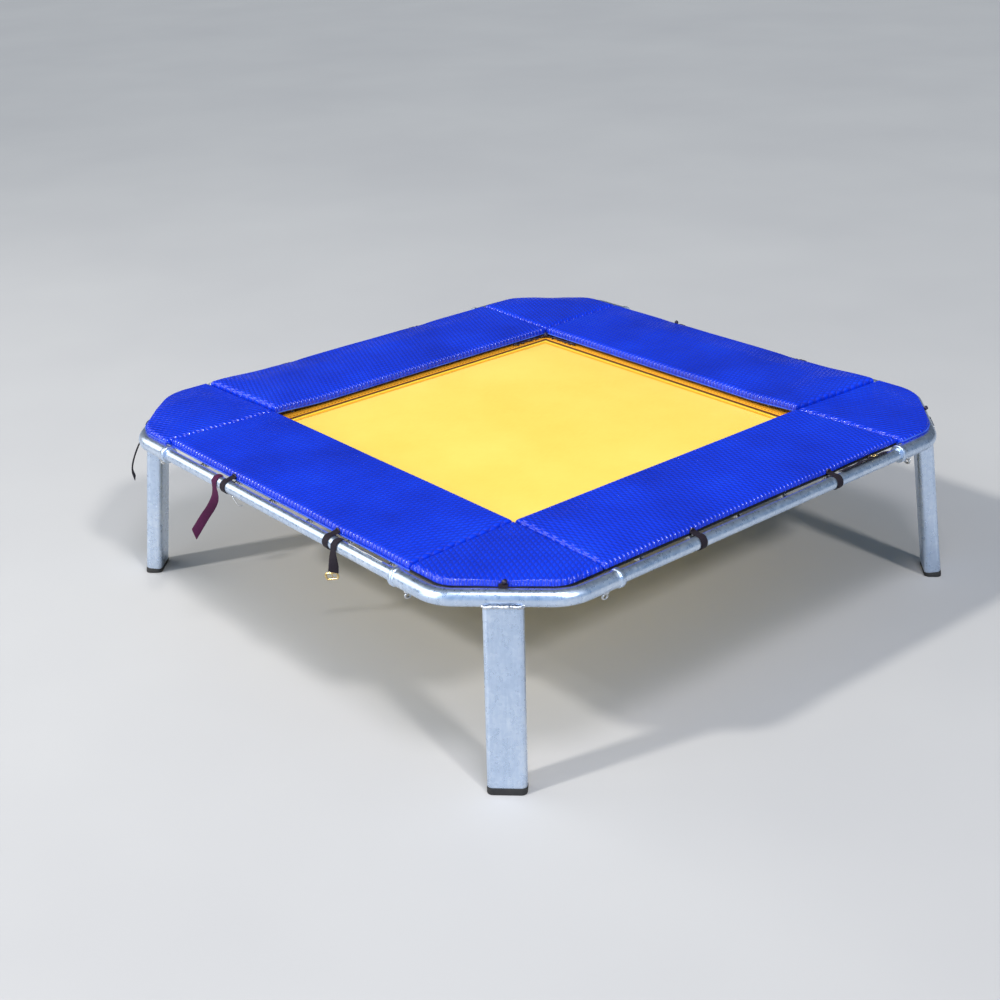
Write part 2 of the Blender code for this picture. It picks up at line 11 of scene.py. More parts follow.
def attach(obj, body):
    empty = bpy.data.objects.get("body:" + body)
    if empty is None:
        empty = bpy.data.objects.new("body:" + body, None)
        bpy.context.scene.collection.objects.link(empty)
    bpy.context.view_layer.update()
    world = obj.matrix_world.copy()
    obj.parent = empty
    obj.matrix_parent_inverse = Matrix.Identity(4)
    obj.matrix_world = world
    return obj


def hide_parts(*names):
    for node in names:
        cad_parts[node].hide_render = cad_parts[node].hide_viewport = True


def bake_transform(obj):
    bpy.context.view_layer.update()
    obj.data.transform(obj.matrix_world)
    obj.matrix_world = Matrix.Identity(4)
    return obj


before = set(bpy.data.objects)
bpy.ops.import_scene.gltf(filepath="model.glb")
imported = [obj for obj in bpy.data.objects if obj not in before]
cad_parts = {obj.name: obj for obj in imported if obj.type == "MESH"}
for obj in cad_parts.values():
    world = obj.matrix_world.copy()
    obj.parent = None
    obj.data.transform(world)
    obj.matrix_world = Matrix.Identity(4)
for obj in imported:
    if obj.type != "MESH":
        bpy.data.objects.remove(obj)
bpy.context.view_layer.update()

# Sizes that the CAD model has. The frame's centrelines, and its distance to a corner along the diagonal
FRAME_HALF, FRAME_Z, DIAGONAL = 0.565, 0.303, 0.700
BEND_RADIUS = 0.070
SOCKET_RADIUS, SIDE_RADIUS = 0.01345, 0.01065
SOCKET_MOUTH, SOCKET_DEPTH, RIM_RADIUS = 0.330, 0.055, 0.0153
FOOT_DIAGONAL = 0.738
LEG_WIDTH, LEG_DEPTH, LEG_CORNER, LEG_WALL = 0.060, 0.030, 0.009, 0.0025
FOOT_HEIGHT = 0.0093
SCREW_ALONG = 0.360

# Bed, hem, the rings sewn into it, and springs
BED_HALF, BED_LOW, BED_THICKNESS = 0.361, 0.2991, 0.0016
HEM_INNER, HEM_OUTER = 0.331, 0.3665
RING_CENTRE, RING_Z, RING_RADIUS = 0.3705, 0.3005, 0.0070
SPRING_Z, SPRING_PITCH, SPRING_COUNT, SPRING_SHIFT = 0.2995, 0.109, 6, 0.0145
COIL_START, COIL_END, COIL_RADIUS, WIRE = 0.400, 0.540, 0.0060, 0.0015

# Pads: heights, outlines and the rounding of their edges
OPENING, PAD_OUTER, PAD_DIAGONAL = 0.338, 0.550, 0.688
PAD_END_INNER, PAD_END_OUTER, PAD_SEAM = 0.3365, 0.347, 0.0022
NARROW_CORNER = (0.550, 0.688, 0.045)  # a corner pad's outer edges, its cut edge and its rounding
WIDE_CORNER = (0.561, 0.702, 0.085)
GROOVE = 0.0159  # the radius that a wide pad keeps clear round the corner tube
PAD_LOW, PAD_TOP = 0.3088, 0.3252
EDGE_RADIUS, LOWER_RADIUS = 0.0085, 0.0030
STRAP_WIDTH, STRAP_THICKNESS, STRAP_GAP = 0.014, 0.0013, 0.0004
TAIL_ALONG, SHORT_ALONG = -0.163, 0.188

SIDES = {"front": 0, "right": 1, "back": 2, "left": 3}
CORNERS = {"front_left": 0, "front_right": 1, "back_right": 2, "back_left": 3}
scene = bpy.context.scene


def turn_of(quarters):
    return Matrix.Rotation(quarters * math.pi / 2, 4, "Z")


def at_side(along, outward, height):
    """A point by the front tube: along X, outward from its centreline and above it."""
    return Vector((along, -FRAME_HALF - outward, FRAME_Z + height))


def at_corner(along, outward, height):
    """A point by the front left corner tube, along its middle stretch."""
    flat = Matrix.Rotation(-math.pi / 4, 3, "Z") @ Vector((along, -DIAGONAL - outward, 0))
    return Vector((flat.x, flat.y, FRAME_Z + height))


# Camera

def make_camera():
    data = bpy.data.cameras.new("camera")
    data.sensor_width = 36.0
    data.lens = 58.0
    camera = bpy.data.objects.new("camera", data)
    scene.collection.objects.link(camera)
    forward = Vector((0.58250, 0.70269, -0.40856)).normalized()
    level = forward.cross(Vector((0, 0, 1))).normalized()
    lift = level.cross(forward)
    roll = -0.03693
    right = level * math.cos(roll) + lift * math.sin(roll)
    up = lift * math.cos(roll) - level * math.sin(roll)
    place = Matrix((right, up, -forward)).transposed().to_4x4()
    place.translation = Vector((-1.8055, -2.0771, 1.3762))
    camera.matrix_world = place
    scene.camera = camera


make_camera()


# Materials

class Nodes:
    """Short ways to add shader nodes."""

    def __init__(self, name):
        self.material = bpy.data.materials.new(name)
        self.material.use_nodes = True
        self.tree = self.material.node_tree
        self.shader = self.tree.nodes["Principled BSDF"]

    def add(self, kind, **values):
        node = self.tree.nodes.new(kind)
        for key, value in values.items():
            setattr(node, key, value)
        return node

    def put(self, socket, value):
        if isinstance(value, bpy.types.NodeSocket):
            self.tree.links.new(value, socket)
        else:
            socket.default_value = value

    def math(self, operation, a, b=0.0, c=0.0):
        node = self.add("ShaderNodeMath", operation=operation)
        for socket, value in zip(node.inputs, (a, b, c)):
            self.put(socket, value)
        return node.outputs[0]

    def place(self, scale=(1, 1, 1)):
        coordinates = self.add("ShaderNodeTexCoord")
        mapping = self.add("ShaderNodeMapping")
        self.put(mapping.inputs["Vector"], coordinates.outputs["Object"])
        mapping.inputs["Scale"].default_value = scale
        return mapping.outputs[0]

    def split(self, vector):
        node = self.add("ShaderNodeSeparateXYZ")
        self.put(node.inputs[0], vector)
        return node.outputs

    def noise(self, vector, scale, detail=3.0, roughness=0.55):
        node = self.add("ShaderNodeTexNoise")
        self.put(node.inputs["Vector"], vector)
        node.inputs["Scale"].default_value = scale
        node.inputs["Detail"].default_value = detail
        node.inputs["Roughness"].default_value = roughness
        return node.outputs["Fac"]

    def ramp(self, factor, stops):
        node = self.add("ShaderNodeValToRGB")
        self.put(node.inputs["Fac"], factor)
        band = node.color_ramp
        while len(band.elements) < len(stops):
            band.elements.new(0.5)
        for element, (position, colour) in zip(band.elements, stops):
            element.position = position
            element.color = (*colour, 1.0)
        return node.outputs["Color"]

    def mix(self, factor, a, b):
        node = self.add("ShaderNodeMix", data_type="RGBA", blend_type="MIX")
        self.put(node.inputs["Factor"], factor)
        for socket, value in ((node.inputs[6], a), (node.inputs[7], b)):
            self.put(socket, (*value, 1.0) if isinstance(value, tuple) else value)
        return node.outputs[2]

    def span(self, value, low, high, to_low=0.0, to_high=1.0):
        node = self.add("ShaderNodeMapRange")
        for socket, number in zip(node.inputs, (value, low, high, to_low, to_high)):
            self.put(socket, number)
        return node.outputs[0]

    def bump(self, height, strength, distance, normal=None):
        node = self.add("ShaderNodeBump")
        self.put(node.inputs["Height"], height)
        node.inputs["Strength"].default_value = strength
        node.inputs["Distance"].default_value = distance
        if normal is not None:
            self.put(node.inputs["Normal"], normal)
        return node.outputs[0]

    def finish(self, colour, roughness, metallic=0.0, normal=None, **constants):
        self.put(self.shader.inputs["Base Color"], colour)
        self.put(self.shader.inputs["Roughness"], roughness)
        self.shader.inputs["Metallic"].default_value = metallic
        if normal is not None:
            self.put(self.shader.inputs["Normal"], normal)
        for name, value in constants.items():
            self.shader.inputs[name].default_value = value
        return self.material


def steel_material():
    """Hot-dip galvanised tube: fine pale crystals, faint drawn streaks, a few dull patches, and a blue tint
    that is a painted reflection of sky.
    """
    n = Nodes("galvanised")
    place = n.place()
    cells = n.add("ShaderNodeTexVoronoi", feature="F1")
    n.put(cells.inputs["Vector"], place)
    cells.inputs["Scale"].default_value = 190.0
    grey = n.split(cells.outputs["Color"])[0]
    patches = n.noise(place, 12.0, 5.0)
    streaks = n.noise(n.place((60, 60, 3)), 4.0, 4.0)
    fine = n.noise(place, 170.0, 3.0)
    tone = n.math("ADD", n.math("MULTIPLY", grey, 0.14), n.math("MULTIPLY", patches, 0.52))
    tone = n.math("ADD", tone, n.math("MULTIPLY", streaks, 0.34))
    # The blue in these tones is a painted reflection of blue sky, laid over the zinc's grey.
    colour = n.ramp(tone, ((0.22, (0.44, 0.56, 0.74)), (0.5, (0.58, 0.69, 0.86)), (0.78, (0.78, 0.86, 0.96))))
    mixed = n.math("ADD", n.math("MULTIPLY", grey, 0.4), n.math("MULTIPLY", streaks, 0.6))
    rough = n.span(mixed, 0.2, 0.8, 0.24, 0.40)
    normal = n.bump(fine, 0.02, 0.0004, n.bump(patches, 0.08, 0.003))
    return n.finish(colour, rough, 0.92, normal)


def bare_metal(name, scale, detail, dark, light, rough, bump):
    """A metal with mottled tone and shine: rough is its span, bump the strength and distance."""
    n = Nodes(name)
    mottle = n.noise(n.place(), scale, detail)
    colour = n.ramp(mottle, ((0.3, dark), (0.7, light)))
    return n.finish(colour, n.span(mottle, 0.3, 0.7, *rough), 1.0, n.bump(mottle, *bump))


def rubber_material():
    n = Nodes("foot_rubber")
    place = n.place()
    grain = n.noise(place, 400.0, 4.0)
    dust = n.noise(place, 35.0, 4.0)
    colour = n.ramp(dust, ((0.35, (0.012, 0.012, 0.013)), (0.75, (0.035, 0.034, 0.032))))
    return n.finish(colour, n.span(dust, 0.3, 0.7, 0.62, 0.85), 0.0, n.bump(grain, 0.25, 0.0005))


def vinyl_material(name, angle_deg):
    """Blue coated fabric embossed with staggered rows of lozenges; the rows run at an angle to X."""
    n = Nodes(name)
    place = n.place()
    turned = n.add("ShaderNodeVectorRotate", rotation_type="Z_AXIS")
    n.put(turned.inputs["Vector"], place)
    turned.inputs["Angle"].default_value = math.radians(-angle_deg)
    x, y = n.split(turned.outputs[0])[:2]
    along = n.math("MULTIPLY", x, math.pi / 0.0090)
    across = n.math("MULTIPLY", y, math.pi / 0.0210)
    one = n.math("ABSOLUTE", n.math("SINE", n.math("ADD", along, across)))
    two = n.math("ABSOLUTE", n.math("SINE", n.math("SUBTRACT", along, across)))
    lozenge = n.math("MULTIPLY", one, two)
    raised = n.span(lozenge, 0.05, 0.55)
    wear = n.noise(place, 7.0, 4.0)
    creases = n.noise(n.place((1, 1, 2)), 20.0, 3.0)
    grain = n.noise(place, 900.0, 2.0)
    blues = ((0.25, (0.0016, 0.026, 0.52)), (0.55, (0.0022, 0.040, 0.74)), (0.8, (0.0045, 0.060, 0.86)))
    body = n.ramp(wear, blues)
    # The grooves between the lozenges are darkened: painted shade in the embossing.
    painted_groove_shade = n.mix(0.5, body, (0.0008, 0.010, 0.26))
    colour = n.mix(raised, painted_groove_shade, body)
    rough = n.math("ADD", n.span(raised, 0.0, 1.0, 0.40, 0.15), n.math("MULTIPLY", wear, 0.06))
    soft = n.bump(creases, 0.12, 0.006)
    normal = n.bump(grain, 0.04, 0.0003, n.bump(lozenge, 1.0, 0.0013, soft))
    return n.finish(colour, rough, 0.0, normal, **{"Specular IOR Level": 0.62})


def plain_vinyl_material(name, dark, light):
    n = Nodes(name)
    place = n.place()
    wear = n.noise(place, 40.0, 4.0)
    grain = n.noise(place, 700.0, 2.0)
    colour = n.ramp(wear, ((0.3, dark), (0.7, light)))
    return n.finish(colour, n.span(wear, 0.3, 0.7, 0.32, 0.5), 0.0, n.bump(grain, 0.15, 0.0004))


def ridges(n, value, pitch):
    """Rounded ridges a pitch apart along a coordinate in metres."""
    return n.math("ABSOLUTE", n.math("SINE", n.math("MULTIPLY", value, math.pi / pitch)))


def bed_material():
    """Close-woven yellow bed cloth."""
    n = Nodes("bed_cloth")
    place = n.place()
    x, y = n.split(place)[:2]
    weave = n.math("MAXIMUM", ridges(n, x, 0.0022), ridges(n, y, 0.0022))
    slub = n.noise(n.place((1, 14, 1)), 60.0, 3.0)
    stain = n.noise(place, 5.0, 4.0)
    colour = n.ramp(stain, ((0.3, (0.86, 0.62, 0.085)), (0.7, (0.92, 0.70, 0.125))))
    colour = n.mix(n.span(weave, 0.4, 1.0, 0.22, 0.0), colour, (0.70, 0.45, 0.04))
    colour = n.mix(n.span(slub, 0.4, 0.75, 0.0, 0.16), colour, (1.0, 0.86, 0.22))
    normal = n.bump(weave, 0.25, 0.0005, n.bump(slub, 0.08, 0.0006))
    return n.finish(colour, 0.62, 0.0, normal, **{"Sheen Weight": 0.10, "Sheen Roughness": 0.4})


def webbing_material(name, dark, light):
    """Ribbed webbing, for pieces that carry a UV map with U across and V along, in metres."""
    n = Nodes(name)
    uv = n.add("ShaderNodeTexCoord").outputs["UV"]
    x, y = n.split(uv)[:2]
    weave = n.math("MAXIMUM", n.math("MULTIPLY", ridges(n, x, 0.0014), 0.8), ridges(n, y, 0.0011))
    fuzz = n.noise(n.place(), 300.0, 3.0)
    tone = n.math("ADD", n.math("MULTIPLY", weave, 0.6), n.math("MULTIPLY", fuzz, 0.4))
    colour = n.ramp(tone, ((0.25, dark), (0.85, light)))
    normal = n.bump(fuzz, 0.1, 0.0004, n.bump(weave, 0.5, 0.0004))
    gloss = {"Specular IOR Level": 0.18, "Sheen Weight": 0.03, "Sheen Roughness": 0.4}
    return n.finish(colour, 0.72, 0.0, normal, **gloss)


STEEL = steel_material()
WELD = bare_metal("weld", 180.0, 5.0, (0.34, 0.36, 0.40), (0.80, 0.82, 0.85), (0.25, 0.55), (0.5, 0.0012))
ZINC = bare_metal("zinc_wire", 120.0, 3.0, (0.42, 0.43, 0.44), (0.68, 0.69, 0.70),
                  (0.25, 0.40), (0.1, 0.0005))
BRASS = bare_metal("brass_plate", 150.0, 4.0, (0.52, 0.36, 0.12), (0.90, 0.72, 0.38),
                   (0.18, 0.36), (0.15, 0.0004))
RUBBER = rubber_material()
VINYL = vinyl_material("pad_vinyl", 0.0)
CORNER_VINYL = vinyl_material("corner_vinyl", -45.0)
WELT = plain_vinyl_material("pad_welt", (0.010, 0.040, 0.42), (0.05, 0.14, 0.72))
BED = bed_material()
BLACK = webbing_material("black_webbing", (0.004, 0.003, 0.005), (0.022, 0.016, 0.024))
PLUM = webbing_material("plum_webbing", (0.014, 0.002, 0.009), (0.085, 0.011, 0.055))
ORANGE = webbing_material("hem_orange", (0.95, 0.26, 0.008), (1.0, 0.50, 0.030))
YELLOW = webbing_material("hem_yellow", (0.85, 0.50, 0.02), (1.0, 0.72, 0.06))
BROWN = webbing_material("hem_brown", (0.060, 0.020, 0.006), (0.16, 0.055, 0.015))
# Near-black cloth of the pads' undersides; on the near pads it also paints shade on the lower wall and the
# welt.
BACKING_AND_SHADE = plain_vinyl_material("pad_backing_and_shade", (0.004, 0.004, 0.006), (0.012, 0.012, 0.018))
DARK_THREAD = plain_vinyl_material("dark_thread", (0.010, 0.006, 0.02), (0.03, 0.02, 0.05))


# Building blocks

def new_object(name, mesh, material, slot=None, smooth_deg=40):
    thing = bpy.data.objects.new(name, mesh)
    scene.collection.objects.link(thing)
    if not mesh.materials:
        mesh.materials.append(material)
    if smooth_deg:
        mesh.shade_smooth()
        mesh.set_sharp_from_angle(angle=math.radians(smooth_deg))
    return thing


def finished(body, outwards=True):
    """The mesh of a bmesh, which is freed."""
    if outwards:
        bmesh.ops.recalc_face_normals(body, faces=body.faces)
    mesh = bpy.data.meshes.new("piece")
    body.to_mesh(mesh)
    body.free()
    return mesh


def mesh_from(build):
    """A mesh that a function fills through bmesh, with its normals outwards."""
    body = bmesh.new()
    build(body)
    bmesh.ops.remove_doubles(body, verts=body.verts, dist=0.000002)
    return finished(body)


def skin(body, pairs):
    """Faces between each ring and the one after it."""
    for ring, following in pairs:
        size = len(ring)
        for k in range(size):
            j = (k + 1) % size
            body.faces.new((ring[k], ring[j], following[j], following[k]))


def angles(count):
    return [2 * math.pi * k / count for k in range(count)]


def arc(centre, radius, start_deg, end_deg, steps):
    points = []
    for step in range(steps + 1):
        angle = math.radians(start_deg + (end_deg - start_deg) * step / steps)
        points.append((centre[0] + radius * math.cos(angle), centre[1] + radius * math.sin(angle)))
    return points


def circle(radius, sides):
    return arc((0.0, 0.0), radius, 0, 360, sides)[:-1]


def rounded_rectangle(width, depth, corner, steps=6):
    points = []
    for side_x, side_y, start in ((1, 1, 0), (-1, 1, 90), (-1, -1, 180), (1, -1, 270)):
        centre = (side_x * (width / 2 - corner), side_y * (depth / 2 - corner))
        points += arc(centre, corner, start, start + 90, steps)
    return points


def smooth_path(points, spacing):
    """Points on a Catmull-Rom curve through the given ones, about the spacing apart."""
    points = [Vector(p) for p in points]
    ends = [2 * points[0] - points[1]] + points + [2 * points[-1] - points[-2]]
    made = []
    for a, b, c, d in zip(ends, ends[1:], ends[2:], ends[3:]):
        steps = max(1, round((c - b).length / spacing))
        for step in range(steps):
            t = step / steps
            square, cube = 2 * a - 5 * b + 4 * c - d, 3 * b - a - 3 * c + d
            made.append(0.5 * (2 * b + (c - a) * t + square * t * t + cube * t**3))
    return made + [points[-1]]


def moved(mesh, matrix):
    made = mesh.copy()
    made.transform(matrix)
    return made


def joined(meshes):
    """One mesh of several, keeping UV maps and material numbers."""
    body = bmesh.new()
    for mesh in meshes:
        body.from_mesh(mesh)
    return finished(body, outwards=False)


def strap_mesh(path, widths, across, thickness=STRAP_THICKNESS, cut=0.0, cross_curve=0.0):
    """Webbing along a path: a flat section with round edges, and a UV map in metres.

    widths is a width or a function of the share of the length. across is the direction of the width, or a
    list with one for each point. cut slants the far end.
    """
    count = len(path)
    lengths = [0.0]
    for a, b in zip(path, path[1:]):
        lengths.append(lengths[-1] + (b - a).length)
    body = bmesh.new()
    uv_layer = body.loops.layers.uv.new("uv")
    columns = 8
    rings, marks = [], []
    for index, point in enumerate(path):
        ahead = (path[min(index + 1, count - 1)] - path[max(index - 1, 0)]).normalized()
        sideways = Vector(across[index]) if isinstance(across, list) else Vector(across)
        sideways = (sideways - ahead * sideways.dot(ahead)).normalized()
        face = ahead.cross(sideways).normalized()
        share = lengths[index] / lengths[-1]
        width = widths(share) if callable(widths) else widths
        section = []
        for side in (1, -1):
            for column in range(columns + 1):
                t = (column / columns * 2 - 1) * side
                edge = thickness / 2 * (1 - max(0.0, abs(t) - 0.82) / 0.18 * 0.75)
                bow = cross_curve * (1 - t * t)
                slant = cut * t * max(0.0, (share - 0.8) / 0.2)
                place = point + sideways * t * width / 2 + face * (side * edge + bow) + ahead * slant
                section.append((body.verts.new(place), (t * width / 2, lengths[index])))
        rings.append([vert for vert, _ in section])
        marks.append([mark for _, mark in section])

    def add(corners, values):
        for loop, value in zip(body.faces.new(corners).loops, values):
            loop[uv_layer].uv = value

    size = len(rings[0])
    for ring, mark, after, after_mark in zip(rings, marks, rings[1:], marks[1:]):
        for k in range(size):
            j = (k + 1) % size
            add((ring[k], ring[j], after[j], after[k]), (mark[k], mark[j], after_mark[j], after_mark[k]))
    add(rings[0][::-1], marks[0][::-1])
    add(rings[-1], marks[-1])
    return finished(body)


def wire_mesh(path, radius, sides=8, closed=False, radii=None):
    """A round wire along any path, its section carried on from point to point without twisting."""
    path = [Vector(p) for p in path]
    count = len(path)
    tangents = []
    for index in range(count):
        before = path[index - 1] if closed or index else path[0]
        after = path[(index + 1) % count] if closed or index < count - 1 else path[-1]
        tangents.append((after - before).normalized())
    side = tangents[0].orthogonal().normalized()
    body = bmesh.new()
    rings = []
    for index, (point, ahead) in enumerate(zip(path, tangents)):
        side = (side - ahead * side.dot(ahead)).normalized()
        lift = ahead.cross(side)
        size = radii[index] if radii else radius
        section = [point + (side * math.cos(a) + lift * math.sin(a)) * size for a in angles(sides)]
        rings.append([body.verts.new(place) for place in section])
    pairs = list(zip(rings, rings[1:]))
    if closed:
        twist = min(range(sides), key=lambda k: (rings[0][k].co - rings[-1][0].co).length)
        pairs.append((rings[-1], rings[0][twist:] + rings[0][:twist]))
    skin(body, pairs)
    if not closed:
        body.faces.new(rings[0][::-1])
        body.faces.new(rings[-1])
    return finished(body)


def placed(name, mesh, material, body, quarters=0, slot=None, smooth_deg=40, replaces=()):
    """An object turned about Z, riding on a body."""
    thing = new_object(name, mesh, material, slot, smooth_deg)
    thing.matrix_world = turn_of(quarters)
    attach(thing, body)
    if replaces:
        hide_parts(*replaces)
    return thing


# Loose straps: the free ends come first

def over_tube(tube_radius, along, start_deg, end_deg, steps, place=at_side):
    """The middle of a strap that goes round a tube, from one angle to another."""
    reach = tube_radius + STRAP_GAP + STRAP_THICKNESS / 2
    return [place(along, out, up) for out, up in arc((0.0, 0.0), reach, start_deg, end_deg, steps)]


def length_of(path):
    return sum((b - a).length for a, b in zip(path, path[1:]))


def loose_end(name, node, mesh, material, slot, path):
    """A strap's free end, which hangs from the frame."""
    strap = new_object(name, mesh, material, slot)
    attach(strap, "frame")
    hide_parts(node)
    tuple(path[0])
    round(length_of(path), 3)
    [tuple(p) for p in path]


def turning(path, count, side, forward, drop):
    """Directions of a strap's width that turn, past the tube, as the strap twists."""
    found = []
    for index in range(len(path)):
        share = min(1.0, max(0.0, (index - 11) / count))
        found.append(Vector((1 - side * share, forward * share, drop(share))))
    return found


def make_tail_strap():
    """The long end that hangs from the left tube, its tip cut on the slant."""
    route = [at_side(*p) for p in (
        (TAIL_ALONG, 0.0112, 0.0046), (-0.159, 0.014, -0.022), (-0.170, 0.018, -0.044),
        (-0.184, 0.024, -0.064), (-0.200, 0.040, -0.098))]
    path = over_tube(SIDE_RADIUS, TAIL_ALONG, 118, 25, 8)[:-1] + smooth_path(route, 0.004)
    place = turn_of(SIDES["left"])
    path = [place @ p for p in path]
    across = [place.to_3x3() @ way for way in turning(path, 9, 0.35, 0.72, lambda share: -0.30 * share)]
    mesh = strap_mesh(path, lambda share: STRAP_WIDTH + 0.0025 * share, across, 0.0012,
                      cut=0.007, cross_curve=0.0006)
    loose_end("tail_strap", "tail_strap_left", mesh, PLUM, "plum_webbing", path)


def make_corner_strap():
    """The thin end that hangs over the back left corner tube."""
    along = 0.030
    route = [at_corner(*p) for p in (
        (along, 0.0136, 0.0050), (0.029, 0.0150, -0.004), (0.031, 0.0190, -0.014), (0.041, 0.0280, -0.029),
        (0.062, 0.0340, -0.048), (0.075, 0.0360, -0.066), (0.060, 0.0380, -0.090))]
    path = over_tube(SOCKET_RADIUS, along, 118, 28, 8, at_corner)[:-1] + smooth_path(route, 0.003)
    place = turn_of(CORNERS["back_left"])
    path = [place @ p for p in path]
    sideways = place.to_3x3() @ (Matrix.Rotation(-math.pi / 4, 3, "Z") @ Vector((1, 0, 0.5)))
    mesh = strap_mesh(path, lambda share: 0.006 + 0.003 * share, sideways, 0.0011, cut=0.003)
    loose_end("corner_strap", "corner_strap_back_left", mesh, BLACK, "black_webbing", path)


make_tail_strap()
make_corner_strap()


# Frame

def corner_path():
    """Points and radii of the front left corner tube, with its collars at both ends."""
    vertex = DIAGONAL * math.sqrt(2) - FRAME_HALF
    start = vertex - BEND_RADIUS * math.tan(math.radians(22.5))
    inside = FRAME_HALF - BEND_RADIUS
    collar = ((SOCKET_MOUTH, 0.0108), (0.33005, 0.0141), (0.3303, 0.0149), (0.3310, RIM_RADIUS),
              (0.3368, RIM_RADIUS), (0.3378, 0.0150), (0.3386, 0.0139), (0.3394, SOCKET_RADIUS),
              (0.3450, SOCKET_RADIUS))
    first = [(-FRAME_HALF, -along) for along, _ in collar]
    bend = arc((-inside, -start), BEND_RADIUS, 180, 225, 14)
    bend += arc((-start, -inside), BEND_RADIUS, 225, 270, 14)
    last = [(-along, -FRAME_HALF) for along, _ in reversed(collar)]
    radii = [radius for _, radius in collar]
    points = [Vector((x, y, FRAME_Z)) for x, y in first + bend + last]
    return points, radii + [SOCKET_RADIUS] * len(bend) + radii[::-1]


def leg_place():
    """Where the front left leg stands, leaning in as it rises, and its length up to the tube's centre."""
    inset = FOOT_DIAGONAL - DIAGONAL
    splay = math.atan2(inset, FRAME_Z)
    floor = Vector((-FOOT_DIAGONAL, -FOOT_DIAGONAL, 0)) / math.sqrt(2)
    turn = Matrix.Rotation(math.radians(135), 4, "Z") @ Matrix.Rotation(splay, 4, "X")
    return Matrix.Translation(floor) @ turn, math.hypot(inset, FRAME_Z)


def lumpy_bead(path, radius, lump, seed):
    """A weld bead: a closed wire whose radius and line wander a little."""
    random.seed(seed)
    radii = []
    for index in range(len(path)):
        swell = math.sin(index * 1.9 + seed) * 0.6 + random.uniform(-0.5, 0.5)
        radii.append(radius * (1 + lump * swell))
    return wire_mesh(path, radius, 10, True, radii)


def leg_meshes():
    """The front left leg, an open rounded rectangular tube, and the weld bead round its top."""
    place, to_tube = leg_place()
    top = to_tube - 0.008
    outline = rounded_rectangle(LEG_WIDTH, LEG_DEPTH, LEG_CORNER, 8)
    inner = rounded_rectangle(LEG_WIDTH - 2 * LEG_WALL, LEG_DEPTH - 2 * LEG_WALL, LEG_CORNER - LEG_WALL, 8)
    shoulder = FOOT_HEIGHT + 0.0006
    levels = [FOOT_HEIGHT] + [shoulder + (top - shoulder) * k / 12 for k in range(13)]

    def build(body):
        rings = [[body.verts.new(Vector((x * 0.985, y * 0.97, levels[0]))) for x, y in outline]]
        for level in levels[1:]:
            rings.append([body.verts.new(Vector((x, y, level))) for x, y in outline])
        rings.append([body.verts.new(Vector((x, y, top))) for x, y in inner])
        rings.append([body.verts.new(Vector((x, y, levels[0]))) for x, y in inner])
        rings.append(rings[0])
        skin(body, zip(rings, rings[1:]))

    leg = mesh_from(build)
    leg.transform(place)
    path = []
    for x, y in rounded_rectangle(LEG_WIDTH + 0.0015, LEG_DEPTH + 0.0015, LEG_CORNER, 14):
        path.append(place @ Vector((x, y, top - 0.0015 + 0.0008 * math.sin(x * 900 + y * 500))))
    long_path = []
    for a, b in zip(path, path[1:] + path[:1]):
        steps = max(1, round((b - a).length / 0.0018))
        long_path += [a.lerp(b, step / steps) for step in range(steps)]
    return leg, lumpy_bead(long_path, 0.0027, 0.32, 3)


def foot_mesh():
    """A rubber foot: a flange under the leg, level with the floor, and a plug inside it."""
    place, _ = leg_place()
    direction = place.to_3x3() @ Vector((0, 0, 1))

    def down_to(point, height):
        return point + direction * ((height - point.z) / direction.z)

    def build(body):
        outline = rounded_rectangle(LEG_WIDTH + 0.001, LEG_DEPTH + 0.001, LEG_CORNER, 8)
        rings = []
        for scale, height in ((0.955, 0.0), (0.985, 0.0004), (1.0, 0.0018)):
            rings.append([down_to(place @ Vector((x * scale, y * scale, 0)), height) for x, y in outline])
        for scale, level in (
            (1.0, 0.0078), (0.985, 0.0086), (0.955, 0.0090), (0.86, 0.0090), (0.86, 0.024), (0.80, 0.026),
        ):
            rings.append([place @ Vector((x * scale, y * scale, level)) for x, y in outline])
        rings = [[body.verts.new(p) for p in ring] for ring in rings]
        skin(body, zip(rings, rings[1:]))
        body.faces.new(rings[0][::-1])
        body.faces.new(rings[-1])

    return mesh_from(build)


def boss_mesh(centre):
    """A six-sided nut boss with a chamfered lower face, under a socket."""

    def build(body):
        rings = []
        for radius, drop in ((0.0068, 0.0115), (0.0068, 0.0148), (0.0060, 0.0155), (0.0032, 0.0155)):
            rings.append([body.verts.new(centre + Vector((x, y, -drop))) for x, y in circle(radius, 6)])
        skin(body, zip(rings, rings[1:]))
        body.faces.new(rings[0])
        body.faces.new(rings[-1])

    return mesh_from(build)


def screw_mesh(centre, ring_axis):
    """A clamp screw's threaded shank and its oval eye."""
    eye = centre - Vector((0, 0, 0.0212))
    across = ring_axis.cross(Vector((0, 0, 1)))
    loop = [eye + across * 0.0050 * math.cos(a) + Vector((0, 0, 0.00375 * math.sin(a))) for a in angles(40)]
    shank = [centre - Vector((0, 0, 0.0110 + 0.0065 * k / 26)) for k in range(27)]
    radii = [0.0030 if k % 2 else 0.0026 for k in range(27)]
    return joined([wire_mesh(loop, 0.0018, 12, True), wire_mesh(shank, 0.0030, 14, False, radii)])


